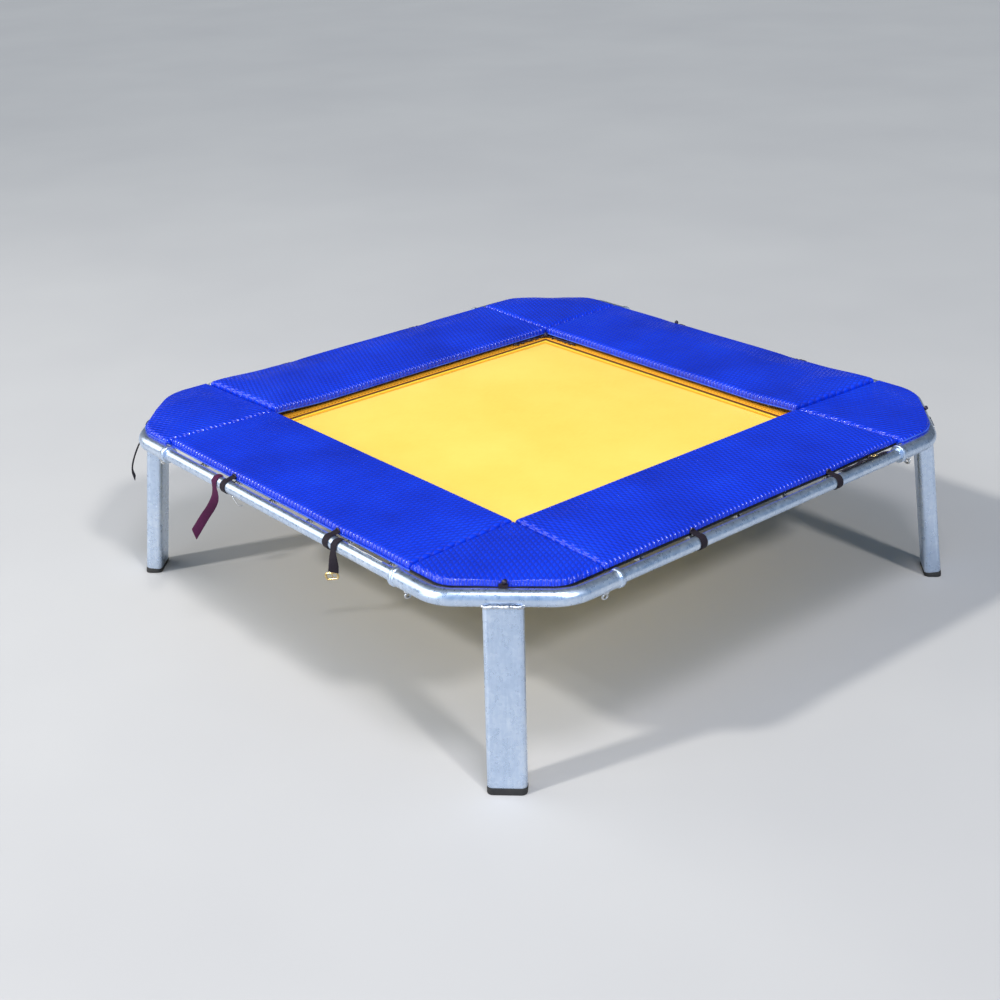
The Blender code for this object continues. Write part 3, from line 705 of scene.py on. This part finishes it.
def make_frame():
    points, radii = corner_path()
    tube = wire_mesh(points, SOCKET_RADIUS, 44, False, radii)
    leg, bead = leg_meshes()
    foot = foot_mesh()
    places = (Vector((-SCREW_ALONG, -FRAME_HALF, FRAME_Z)), Vector((-FRAME_HALF, -SCREW_ALONG, FRAME_Z)))
    bosses = joined([boss_mesh(centre) for centre in places])
    for name, turn in CORNERS.items():
        main = placed("corner_tube_" + name, tube.copy(), STEEL, "frame", turn, "steel", 50)
        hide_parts("corner_frame_" + name)
        placed("leg_" + name, leg.copy(), STEEL, "frame", turn, "steel", 50)
        placed("weld_" + name, bead.copy(), WELD, "frame", turn, "steel", 80)
        placed("nut_bosses_" + name, bosses.copy(), WELD, "frame", turn, "steel", 30)
        placed("rubber_foot_" + name, foot.copy(), RUBBER, "frame", turn, "foot_rubber", 45, ["foot_" + name])
        for label, centre in zip(("_a", "_b"), places):
            node = "clamp_screw_" + name + label
            screw = screw_mesh(centre, Vector((0, 1, 0)))
            placed("eye_screw_" + name + label, screw, ZINC, node, turn, "zinc", 50, [node])
    half = SOCKET_MOUTH + SOCKET_DEPTH
    straight = [at_side(-half + 2 * half * k / 10, 0, 0) for k in range(11)]
    side = wire_mesh(straight, SIDE_RADIUS, 40)
    for name, turn in SIDES.items():
        placed("side_rail_" + name, side.copy(), STEEL, "frame", turn, "steel", 50, ["side_tube_" + name])


make_frame()


# Springs and bed

def spring_places():
    """How far along the front side each spring is."""
    middle = (SPRING_COUNT - 1) / 2
    return [SPRING_SHIFT + (index - middle) * SPRING_PITCH for index in range(SPRING_COUNT)]


def spring_path():
    """The wire of the front side's spring at X = 0, from the hook in the tube to the hook in the ring."""
    ring_out = RING_CENTRE + RING_RADIUS
    over = RING_Z + 0.0016 + WIRE + 0.0006
    outer = [(0, FRAME_HALF - 0.0042, 0.3068), (0, FRAME_HALF - 0.0042, 0.3035),
             (0, FRAME_HALF - 0.0055, SPRING_Z + 0.0006), (0, FRAME_HALF - 0.012, SPRING_Z),
             (0, 0.5465, SPRING_Z), (0.001, 0.5415, SPRING_Z + 0.0015)]
    turns, steps_a_turn = 42, 9
    steps = turns * steps_a_turn
    coil = []
    for step in range(steps + 1):
        angle = 2 * math.pi * step / steps_a_turn
        distance = COIL_END - (COIL_END - COIL_START) * step / steps
        taper = min(1.0, 0.45 + step / 14, 0.45 + (steps - step) / 14)
        reach = COIL_RADIUS * taper
        coil.append((reach * math.sin(angle), distance, SPRING_Z + reach * math.cos(angle)))
    inner = [(0.001, 0.3985, SPRING_Z + 0.0015), (0, 0.394, SPRING_Z + 0.001), (0, ring_out + 0.010, over),
             (0, ring_out - 0.001, over + 0.0003), (0, ring_out - 0.0045, over - 0.0005),
             (0, ring_out - 0.0052, RING_Z), (0, ring_out - 0.0048, RING_Z - 0.0042)]
    return [Vector((x, -distance, z)) for x, distance, z in outer + coil + inner]


def make_springs():
    spring = wire_mesh(spring_path(), WIRE, 6)
    for name, turn in SIDES.items():
        for number, along in enumerate(spring_places(), 1):
            place = turn_of(turn) @ Matrix.Translation((along, 0, 0))
            coil = new_object(f"coil_spring_{name}_{number}", moved(spring, place), ZINC, "zinc", 60)
            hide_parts(f"spring_{name}_{number}")
            start = turn_of(turn) @ at_side(along, -0.014, SPRING_Z - FRAME_Z)
            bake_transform(coil)


def bed_mesh():
    """The bed cloth: a thin closed sheet with a slight ripple."""
    cells = 60

    def build(body):
        layers = []
        for height in (BED_LOW + BED_THICKNESS, BED_LOW):
            rows = []
            for j in range(cells + 1):
                row = []
                for i in range(cells + 1):
                    x, y = (2 * i / cells - 1) * BED_HALF, (2 * j / cells - 1) * BED_HALF
                    ripple = 0.00025 * noise.noise(Vector((x * 9, y * 9, 3.0)))
                    row.append(body.verts.new(Vector((x, y, height + ripple))))
                rows.append(row)
            layers.append(rows)
        top, low = layers
        for j in range(cells):
            for i in range(cells):
                body.faces.new((top[j][i], top[j][i + 1], top[j + 1][i + 1], top[j + 1][i]))
                body.faces.new((low[j][i], low[j + 1][i], low[j + 1][i + 1], low[j][i + 1]))
            for a, b, c, d in (
                (top[0][j], low[0][j], low[0][j + 1], top[0][j + 1]),
                (top[cells][j + 1], low[cells][j + 1], low[cells][j], top[cells][j]),
                (top[j + 1][0], low[j + 1][0], low[j][0], top[j][0]),
                (top[j][cells], low[j][cells], low[j + 1][cells], top[j + 1][cells]),
            ):
                body.faces.new((a, b, c, d))

    return mesh_from(build)


def band_mesh(distance, width, half_length, height, thickness):
    """A straight strip of webbing along the front side of the bed."""
    count = 40
    path = [Vector((-half_length + 2 * half_length * k / count, -distance, height)) for k in range(count + 1)]
    return strap_mesh(path, width, (0, 1, 0), thickness)


def stitch_row(points, length, radius, height):
    """Short stitches along X, each arched over its point."""
    meshes = []
    half, rise = Vector((length / 2, 0, 0)), Vector((0, 0, height))
    for point in points:
        path = [point - half - rise, point - half * 0.6, point, point + half * 0.6, point + half - rise]
        meshes.append(wire_mesh(path, radius, 6))
    return joined(meshes)


def make_bed():
    top = BED_LOW + BED_THICKNESS
    bed = placed("bed_cloth", bed_mesh(), BED, "bed", 0, "bed_fabric", 40, ["jump_bed"])
    webbing_low = top + 0.0003
    middle, whole = (HEM_INNER + HEM_OUTER) / 2, HEM_OUTER - HEM_INNER
    bands = (  # name, distance from the centre, width, height, thickness, material
        ("hem_webbing", middle, whole, webbing_low + 0.0010, 0.0020, ORANGE),
        # A dark brown strip along the hem, between the yellow facing and the orange webbing.
        ("hem_dark_strip", 0.3278, 0.0064, webbing_low + 0.0007, 0.0014, BROWN),
        ("hem_facing", 0.3210, 0.0070, webbing_low + 0.0004, 0.0008, YELLOW),
        ("hem_edge", 0.3143, 0.0045, webbing_low + 0.0003, 0.0006, ORANGE),
    )
    for label, distance, width, height, thickness, material in bands:
        for name, turn in SIDES.items():
            half = distance + width / 2 if turn % 2 == 0 else distance - width / 2 - 0.0001
            mesh = band_mesh(distance, width, half, height, thickness)
            piece = placed(f"{label}_{name}", mesh, material, "bed", turn, "hem_webbing", 60)
            if label == "hem_webbing" and name == "front":
                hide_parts("bed_hem")
    rings, rivets, stitches = [], [], []
    for along in spring_places():
        centre = Vector((along, -RING_CENTRE, RING_Z))
        loop = [centre + RING_RADIUS * Vector((math.cos(a), math.sin(a), 0)) for a in angles(28)]
        rings.append(wire_mesh(loop, 0.0016, 8, True))
        base = Vector((along, -0.3560, webbing_low + 0.0019))
        profile = ((0.0, 0.0036), (0.0006, 0.0036), (0.0011, 0.0030), (0.0014, 0.0018), (0.0015, 0.0004))
        middle = [base + Vector((0, 0, height)) for height, _ in profile]
        rivets.append(wire_mesh(middle, 0.003, 16, False, [radius for _, radius in profile]))
    count = 84
    for distance in (0.3345, 0.3625):
        lift = webbing_low + 0.0021
        row = [Vector((-0.33 + 0.66 * k / count, -distance, lift)) for k in range(count + 1)]
        stitches.append(stitch_row(row, 0.0046, 0.0004, 0.0006))
    rings, rivets, stitches = joined(rings), joined(rivets), joined(stitches)
    kinds = (("sewn_rings_", rings, ZINC, "zinc"), ("hem_rivets_", rivets, ZINC, "zinc"),
             ("hem_stitches_", stitches, BROWN, "hem_webbing"))
    for name, turn in SIDES.items():
        for label, mesh, material, slot in kinds:
            placed(label + name, mesh.copy(), material, "bed", turn, slot, 60)


make_springs()
make_bed()


# Pads

def stations(length, coarse=0.012):
    """Shares of a length, closer together near both ends."""
    near = [0.0, 0.0006, 0.0015, 0.0028, 0.0045, 0.0064, 0.0085, 0.0120, 0.0175, 0.0250]
    count = max(2, round((length - 0.05) / coarse))
    inner = [0.025 + (length - 0.05) * k / count for k in range(1, count)]
    found = near + inner + [length - e for e in reversed(near)]
    return [value / length for value in found]


def over_corner_tube(x, y):
    """The lowest that a pad may lie over the front left corner tube, or nothing beside it."""
    off_cut = DIAGONAL + (x + y) / math.sqrt(2)
    off = min(abs(off_cut), abs(x + FRAME_HALF), abs(y + FRAME_HALF))
    if off >= GROOVE:
        return 0.0
    return FRAME_Z + math.sqrt(GROOVE**2 - off**2)


def edge_drop(edge, radius):
    """How far a rounded edge drops back, this far in from the outline."""
    if edge >= radius:
        return 0.0
    return radius - math.sqrt(max(0.0, radius**2 - (radius - edge) ** 2))


def slab_mesh(plan, length, depth, shape, cover, painted_shade_wall, floor=None):
    """A pad. plan(u, v) gives its outline's points, and shape(x, y, edge) raises its upper face.

    Its underside is backing cloth. When the flag for it is set, the lower part of its wall is painted shade
    in the same near-black material.
    """
    across, inward = stations(length), stations(depth)
    last_u, last_v = len(across) - 1, len(inward) - 1

    def build(body):
        top, low = [], []
        for v in inward:
            top_row, low_row = [], []
            for u in across:
                x, y = plan(u, v)
                edge = min(u * length, (1 - u) * length, v * depth, (1 - v) * depth)
                lift, raised = shape(x, y, edge)
                height = PAD_TOP - edge_drop(edge, EDGE_RADIUS) + lift + raised
                top_row.append(body.verts.new(Vector((x, y, height))))
                under = PAD_LOW + edge_drop(edge, LOWER_RADIUS) + raised
                if floor:
                    under = min(max(under, floor(x, y)), top_row[-1].co.z - 0.0008)
                low_row.append(body.verts.new(Vector((x, y, under))))
            top.append(top_row)
            low.append(low_row)
        for j in range(last_v):
            for i in range(last_u):
                body.faces.new((top[j][i], top[j][i + 1], top[j + 1][i + 1], top[j + 1][i]))
                under = body.faces.new((low[j][i], low[j + 1][i], low[j + 1][i + 1], low[j][i + 1]))
                under.material_index = 1
        rim = [(0, i) for i in range(last_u)] + [(j, last_u) for j in range(last_v)]
        rim += [(last_v, i) for i in range(last_u, 0, -1)] + [(j, 0) for j in range(last_v, 0, -1)]
        for (j, i), (n, m) in zip(rim, rim[1:] + rim[:1]):
            a, b, c, d = low[j][i], low[n][m], top[n][m], top[j][i]
            middle_a = body.verts.new(a.co.lerp(d.co, 0.75))
            middle_b = body.verts.new(b.co.lerp(c.co, 0.75))
            # On the near pads these lower wall faces are near-black as painted shade.
            body.faces.new((a, b, middle_b, middle_a)).material_index = 1 if painted_shade_wall else 0
            body.faces.new((middle_a, middle_b, c, d))

    mesh = mesh_from(build)
    mesh.materials.append(cover)
    mesh.materials.append(BACKING_AND_SHADE)
    return mesh


def side_plan(u, v):
    """The front pad's outline: v runs from the outer edge to the inner one."""
    half = PAD_END_OUTER + (PAD_END_INNER - PAD_END_OUTER) * v - 0.0012
    return (2 * u - 1) * half, -PAD_OUTER + (PAD_OUTER - OPENING) * v


def outer_run(share, edges):
    """A point on the outer half of the corner pad's outline, from its left seam to the middle of the cut."""
    outer, diagonal, rounding = edges
    seam = PAD_END_OUTER + PAD_SEAM
    cut = diagonal * math.sqrt(2) - outer
    tangent = rounding * math.tan(math.radians(22.5))
    straight = cut - tangent - seam
    curve = rounding * math.radians(45)
    middle = (outer - cut) / math.sqrt(2) - tangent
    run = share * (straight + curve + middle)
    if run <= straight:
        return -outer, -seam - run
    if run <= straight + curve:
        angle = math.radians(180) + (run - straight) / rounding
        return (
            -(outer - rounding) + rounding * math.cos(angle),
            -(cut - tangent) + rounding * math.sin(angle),
        )
    past = (run - straight - curve + tangent) / math.sqrt(2)
    return -outer + past, -cut - past


def corner_plan(edges):
    """The front left corner pad's outline, as a Coons patch between its four edges."""
    inner = OPENING + PAD_SEAM / 2
    seam = PAD_END_OUTER + PAD_SEAM
    a, b, c, d = (-inner, -inner), (-edges[0], -seam), (-seam, -edges[0]), outer_run(1.0, edges)

    def lerp(p, q, t):
        return p[0] + (q[0] - p[0]) * t, p[1] + (q[1] - p[1]) * t

    def plan(u, v):
        low, high = lerp(a, b, u), tuple(reversed(outer_run(u, edges)))
        left, right = lerp(a, c, v), outer_run(v, edges)
        found = []
        for k in (0, 1):
            blended = (1 - v) * low[k] + v * high[k] + (1 - u) * left[k] + u * right[k]
            corners = (1 - v) * ((1 - u) * a[k] + u * b[k]) + v * ((1 - u) * c[k] + u * d[k])
            found.append(blended - corners)
        return found[0], found[1]

    return plan


def smoothstep(value):
    value = min(1.0, max(0.0, value))
    return value * value * (3 - 2 * value)


def pad_shape(seed, straps, raised_end=0):
    """How a pad's upper face lies: crowned foam, slow waves, dips at its straps, and one end raised."""

    def shape(x, y, edge):
        crown = 0.0026 * smoothstep(edge / 0.07)
        wave = 0.0010 * noise.noise(Vector((x * 11, y * 11, seed))) * smoothstep(edge / 0.012)
        for sx, sy in straps:
            far = math.hypot((x - sx) / 1.3, y - sy)
            crown -= 0.0016 * math.exp(-((far / 0.020) ** 2))
        raised = 0.0
        if raised_end:
            raised = 0.0050 * smoothstep((x * raised_end - 0.22) / 0.12)
        raised += 0.0006 * noise.noise(Vector((x * 5, y * 5, seed + 7)))
        return crown + wave, raised

    return shape


def welt_mesh(plan, shape, length, depth, floor=None):
    """A thin cord of folded vinyl round a pad's lower edge."""
    across, inward = stations(length), stations(depth)
    ring = [(u, 0.0) for u in across] + [(1.0, v) for v in inward[1:]]
    ring += [(u, 1.0) for u in across[-2::-1]] + [(0.0, v) for v in inward[-2:0:-1]]
    path = []
    for u, v in ring:
        x, y = plan(u, v)
        _, raised = shape(x, y, 0.0)
        height = PAD_LOW + 0.0030 + raised
        if floor and floor(x, y):
            height = floor(x, y) + 0.0016
        point = Vector((x, y, height))
        if not path or (point - path[-1]).length > 0.0012:
            path.append(point)
    return wire_mesh(path, 0.0013, 8, True)


PAD_STRAPS = {
    "front": (-0.1605, 0.1645),
    "right": (-0.1605, 0.1645),
    "back": (-0.1605, 0.1645),
    "left": (-0.137, 0.1645),
}


def strap_loop(along, tube_radius, place, across, closed):
    """A pad's strap: out of its edge, over the tube and, on a side, right round it."""
    face = -0.0135 if place is at_side else -0.0105
    height = tube_radius + STRAP_GAP + STRAP_THICKNESS / 2
    lead = [place(along, face - 0.002, height + 0.0018), place(along, face + 0.002, height + 0.0012)]
    end, steps = (-215, 36) if closed else (99, 6)
    path = lead + over_tube(tube_radius, along, 108, end, steps, place)
    return strap_mesh(path, STRAP_WIDTH, across)


def eyelet_mesh(along, place):
    """A dark eyelet in the pad's outer face, over the strap."""
    face = -0.0146 if place is at_side else -0.0117
    centre_up = 0.0142
    right = (place(1, 0, 0) - place(0, 0, 0)).normalized()
    centre = place(along, face, centre_up)
    loop = [centre + right * 0.0042 * math.cos(a) + Vector((0, 0, 0.0036 * math.sin(a))) for a in angles(24)]
    disc_path = [place(along, face - 0.0010, centre_up), place(along, face + 0.0002, centre_up)]
    return joined([wire_mesh(loop, 0.0012, 8, True), wire_mesh(disc_path, 0.0036, 20)])


def dark_knot(centre, radius, seed):
    """A small lumpy knot of cord."""
    random.seed(seed)
    loops = []
    for turn in range(3):
        tilt = Matrix.Rotation(1.1 * turn + 0.4, 3, "Y") @ Matrix.Rotation(0.9 * turn, 3, "X")
        wide = radius * 0.62
        loop = [centre + tilt @ Vector((wide * math.cos(a), wide * math.sin(a), 0.0004 * math.sin(3 * a)))
                for a in angles(18)]
        loops.append(wire_mesh(loop, radius * 0.42, 8, True))
    return joined(loops)


def make_pad(name, turn, plan, shape, sizes, cover, body, dark, floor=None):
    """A pad and the welt round its lower edge, both riding on the pad's body. When dark is set, its lower
    wall and welt are painted shade.
    """
    mesh = slab_mesh(plan, *sizes, shape, cover, dark, floor)
    pad = placed("pad_" + name, mesh, cover, body, turn, "vinyl", 60, [body])
    welt = welt_mesh(plan, shape, *sizes, floor)
    # On the near pads the welt is near-black too, as painted shade.
    placed("welt_" + name, welt, BACKING_AND_SHADE if dark else WELT, body, turn, "vinyl", 60)


def make_side_pads():
    for index, (name, turn) in enumerate(SIDES.items()):
        raised_end = {"back": 1, "right": -1}.get(name, 0)
        straps = [(along, -PAD_OUTER) for along in PAD_STRAPS[name]]
        shape = pad_shape(10.0 + 3 * index, straps, raised_end)
        sizes = (2 * PAD_END_OUTER, PAD_OUTER - OPENING)
        body = "side_pad_" + name
        # The front pad gets a painted-shade lower wall and welt.
        make_pad(name, turn, side_plan, shape, sizes, VINYL, body, name == "front")
        for number, along in enumerate(PAD_STRAPS[name], 1):
            loop = strap_loop(along, SIDE_RADIUS, at_side, (1, 0, 0), True)
            placed(f"pad_strap_{name}_{number}", loop, BLACK, body, turn, "black_webbing")
            eyelet = eyelet_mesh(along, at_side)
            placed(f"pad_eyelet_{name}_{number}", eyelet, DARK_THREAD, body, turn, "black_webbing", 60)


def make_corner_pads():
    middle = -PAD_DIAGONAL / math.sqrt(2)
    sizes = (PAD_OUTER - OPENING, PAD_OUTER - OPENING)
    tangent = tuple(Matrix.Rotation(-math.pi / 4, 3, "Z") @ Vector((1, 0, 0)))
    for index, (name, turn) in enumerate(CORNERS.items()):
        wide = name in ("back_left", "front_right")
        edges, floor = (WIDE_CORNER, over_corner_tube) if wide else (NARROW_CORNER, None)
        shape = pad_shape(30.0 + 3 * index, [] if wide else [(middle, middle)])
        body = "corner_pad_" + name
        # The front left corner pad gets a painted-shade lower wall and welt.
        dark = name == "front_left"
        make_pad(name, turn, corner_plan(edges), shape, sizes, CORNER_VINYL, body, dark, floor)
        loop = strap_loop(0.0, SOCKET_RADIUS, at_corner, tangent, False)
        placed("pad_strap_" + name, loop, BLACK, body, turn, "black_webbing")
    knot = joined([eyelet_mesh(0.0, at_corner), dark_knot(at_corner(0.002, -0.0100, 0.0205), 0.0042, 5)])
    body = "corner_pad_front_left"
    placed("pad_eyelet_front_left", knot, DARK_THREAD, body, 0, "black_webbing", 60)


make_side_pads()
make_corner_pads()


# Short straps and buckles

def buckle_mesh(width, length, wire):
    """A bent wire buckle with a prong, in the XY plane."""
    outline = rounded_rectangle(width - wire, length - wire, 0.0030, 6)
    frame_wire = wire_mesh([Vector((x, y, 0)) for x, y in outline], wire / 2, 10, True)
    prong = [(0, length / 2 - wire / 2, 0.0002), (0, 0, 0.0012), (0, -length / 2 + wire / 4, 0.0014)]
    return joined([frame_wire, wire_mesh(prong, 0.0008, 8)])


def make_buckle_strap():
    """The short strap on the left tube and the buckle that hangs in its end."""
    route = [at_side(*p) for p in (
        (SHORT_ALONG, 0.0112, 0.0046), (SHORT_ALONG, 0.0130, -0.014), (0.187, 0.0130, -0.030),
        (0.185, 0.0130, -0.042))]
    path = over_tube(SIDE_RADIUS, SHORT_ALONG, 118, 25, 8)[:-1] + smooth_path(route, 0.004)
    across = turning(path, 6, 0.25, 0.55, lambda share: 0.10)
    strap = strap_mesh(path, lambda share: 0.014 + 0.003 * share, across, 0.0013, cross_curve=0.0005)
    left = SIDES["left"]
    placed("short_strap", strap, BLACK, "frame", left, "black_webbing", 40, ["buckle_strap_left"])
    buckle = buckle_mesh(0.0235, 0.0140, 0.0036)
    middle = at_side(SHORT_ALONG - 0.007, 0.0135, -0.0495)
    stand = Matrix(((1, 0, 0, middle.x), (0, 0, 1, middle.y), (0, 1, 0, middle.z), (0, 0, 0, 1)))
    tilt = Matrix.Rotation(math.radians(-35), 4, "Y") @ Matrix.Rotation(math.radians(12), 4, "Z")
    buckle.transform(stand @ tilt)
    placed("brass_buckle", buckle, BRASS, "frame", left, "brass", 60, ["buckle_left"])


def make_front_strap():
    """The strap that lies along the front tube beside the pad, with its buckle."""
    reach = SIDE_RADIUS + STRAP_GAP + STRAP_THICKNESS
    angle = math.radians(112)
    out, up = reach * math.cos(angle), reach * math.sin(angle)
    path = []
    for k in range(25):
        along = 0.184 + 0.121 * k / 24
        path.append(at_side(along, out + 0.0006 * math.sin(k), up + 0.0005 * math.sin(k * 0.7)))
    sideways = Vector((0, math.sin(angle), math.cos(angle)))
    strap = strap_mesh(path, 0.013, tuple(sideways), 0.0013)
    placed("lying_strap", strap, BLACK, "side_pad_front", 0, "black_webbing", 40, ["front_strap"])
    buckle = buckle_mesh(0.0175, 0.0125, 0.0021)
    lift = reach + 0.0022
    place = Matrix.Translation(at_side(0.270, lift * math.cos(angle), lift * math.sin(angle)))
    tilt = Matrix.Rotation(math.pi / 2 - angle, 4, "X") @ Matrix.Rotation(math.pi / 2, 4, "Z")
    buckle.transform(place @ tilt)
    placed("lying_buckle", buckle, BRASS, "side_pad_front", 0, "brass", 60, ["front_buckle"])


def make_ties():
    """Cord ties at two corners of the hem, two knots at pad edges, and the clip and hook on the left tube."""
    height = BED_LOW + BED_THICKNESS + 0.0058
    random.seed(11)
    for label, turn, reach in (("far", 2, 0.085), ("near", 0, 0.018)):
        for side in (0, 1):
            path = []
            for k in range(19):
                along = -0.334 + reach * k / 18
                off = -0.3375 + 0.0022 * math.sin(k * 1.7 + side) + 0.0010 * random.uniform(-1, 1)
                lift = height + 0.0012 * math.sin(k * 2.3 + side * 2)
                path.append(Vector((along, off, lift)) if side == 0 else Vector((off, along, lift)))
            radii = [0.0019 + 0.0005 * math.sin(k * 2.1) for k in range(len(path))]
            tie = wire_mesh(path, 0.0019, 8, False, radii)
            placed(f"tie_{label}_{side + 1}", tie, DARK_THREAD, "bed", turn, "black_webbing", 60)
        knot = dark_knot(Vector((-0.3335, -0.3335, height + 0.0030)), 0.0055, 7 + turn)
        placed(f"tie_knot_{label}", knot, DARK_THREAD, "bed", turn, "black_webbing", 60)
    spots = (("right", "side_pad_right", Vector((0.5525, 0.166, 0.3225))),
             ("front_right", "corner_pad_front_right", Vector((0.4990, -0.4990, 0.3235))))
    for label, body, place in spots:
        knot = dark_knot(place, 0.0042, 23)
        placed("edge_knot_" + label, knot, DARK_THREAD, body, 0, "black_webbing", 60)
    clip = [at_side(0.214 + 0.086 * k / 12, -0.0005, 0.0122 + 0.0004 * math.sin(k)) for k in range(13)]
    placed("long_clip", wire_mesh(clip, 0.0012, 8), ZINC, "frame", SIDES["left"], "zinc", 60)
    hook = smooth_path([at_side(*p) for p in (
        (-0.120, 0.002, -0.0106), (-0.114, 0.004, -0.0150), (-0.100, 0.006, -0.0195),
        (-0.086, 0.007, -0.0185), (-0.083, 0.007, -0.0160))], 0.002)
    placed("wire_hook", wire_mesh(hook, 0.0010, 8), ZINC, "frame", SIDES["left"], "zinc", 60)


make_buckle_strap()
make_front_strap()
make_ties()


# Floor and light

def make_floor():
    def build(body):
        half = 30.0
        corners = ((-half, -half), (half, -half), (half, half), (-half, half))
        body.faces.new([body.verts.new(Vector((x, y, 0))) for x, y in corners])

    n = Nodes("studio_floor")
    tone = n.noise(n.place(), 1.2, 3.0)
    colour = n.ramp(tone, ((0.3, (0.50, 0.50, 0.50)), (0.7, (0.535, 0.535, 0.53))))
    material = n.finish(colour, 0.8)
    floor = new_object("floor", mesh_from(build), material, None, 0)


def add_light(kind, name, energy, colour, towards, **values):
    """A light of some kind that points along a direction."""
    data = bpy.data.lights.new(name, kind)
    data.energy = energy
    data.color = colour
    for key, value in values.items():
        setattr(data, key, value)
    light = bpy.data.objects.new(name, data)
    scene.collection.objects.link(light)
    light.rotation_euler = Vector(towards).to_track_quat("-Z", "Y").to_euler()
    return light


def area_light(name, place, target, size, power, colour):
    light = add_light("AREA", name, power, colour, Vector(target) - Vector(place), size=size)
    light.visible_camera = False
    light.location = place


def sun_light(name, towards, strength, angle, colour):
    add_light("SUN", name, strength, colour, towards, angle=angle)


def make_world():
    """Bluish light from the near side fading to grey on the far side, and a pale backdrop."""
    world = bpy.data.worlds.new("studio")
    world.use_nodes = True
    tree = world.node_tree
    nodes, link = tree.nodes, tree.links.new
    parts = nodes.new("ShaderNodeSeparateXYZ")
    link(nodes.new("ShaderNodeTexCoord").outputs["Generated"], parts.inputs[0])
    near = nodes.new("ShaderNodeMath")
    near.operation = "ADD"
    link(parts.outputs[0], near.inputs[0])
    link(parts.outputs[1], near.inputs[1])
    span = nodes.new("ShaderNodeMapRange")
    link(near.outputs[0], span.inputs[0])
    span.inputs[1].default_value, span.inputs[2].default_value = -1.4, 1.4
    band = nodes.new("ShaderNodeValToRGB")
    link(span.outputs[0], band.inputs["Fac"])
    band.color_ramp.elements[0].color = (0.42, 0.66, 1.0, 1.0)
    band.color_ramp.elements[1].position = 0.72
    band.color_ramp.elements[1].color = (0.10, 0.12, 0.14, 1.0)
    light = nodes["Background"]
    link(band.outputs[0], light.inputs["Color"])
    light.inputs["Strength"].default_value = 0.75
    backdrop = nodes.new("ShaderNodeBackground")
    backdrop.inputs["Color"].default_value = (0.56, 0.58, 0.60, 1.0)
    seen = nodes.new("ShaderNodeMixShader")
    link(nodes.new("ShaderNodeLightPath").outputs["Is Camera Ray"], seen.inputs[0])
    link(light.outputs[0], seen.inputs[1])
    link(backdrop.outputs[0], seen.inputs[2])
    link(seen.outputs[0], nodes["World Output"].inputs["Surface"])
    scene.world = world


def make_lights():
    scene.view_settings.view_transform = "Standard"
    sun_light("key", (0.700, -0.226, -0.677), 1.8, 0.08, (1.0, 0.96, 0.90))
    sun_light("second", (0.09, 0.76, -0.64), 1.35, 0.10, (1.0, 0.96, 0.92))
    area_light("near_panel", (-1.0, -1.5, 3.4), (0, 0, 0.3), 0.8, 48.0, (1.0, 0.97, 1.0))
    area_light("left_panel", (-3.2, 0.2, 1.0), (-0.5, 0, 0.3), 1.8, 26.0, (1.0, 0.98, 0.96))
    area_light("back_panel", (-2.1, 2.7, 2.1), (-0.5, 0, 0.3), 2.6, 44.0, (1.0, 0.97, 0.93))


make_floor()
make_world()
make_lights()
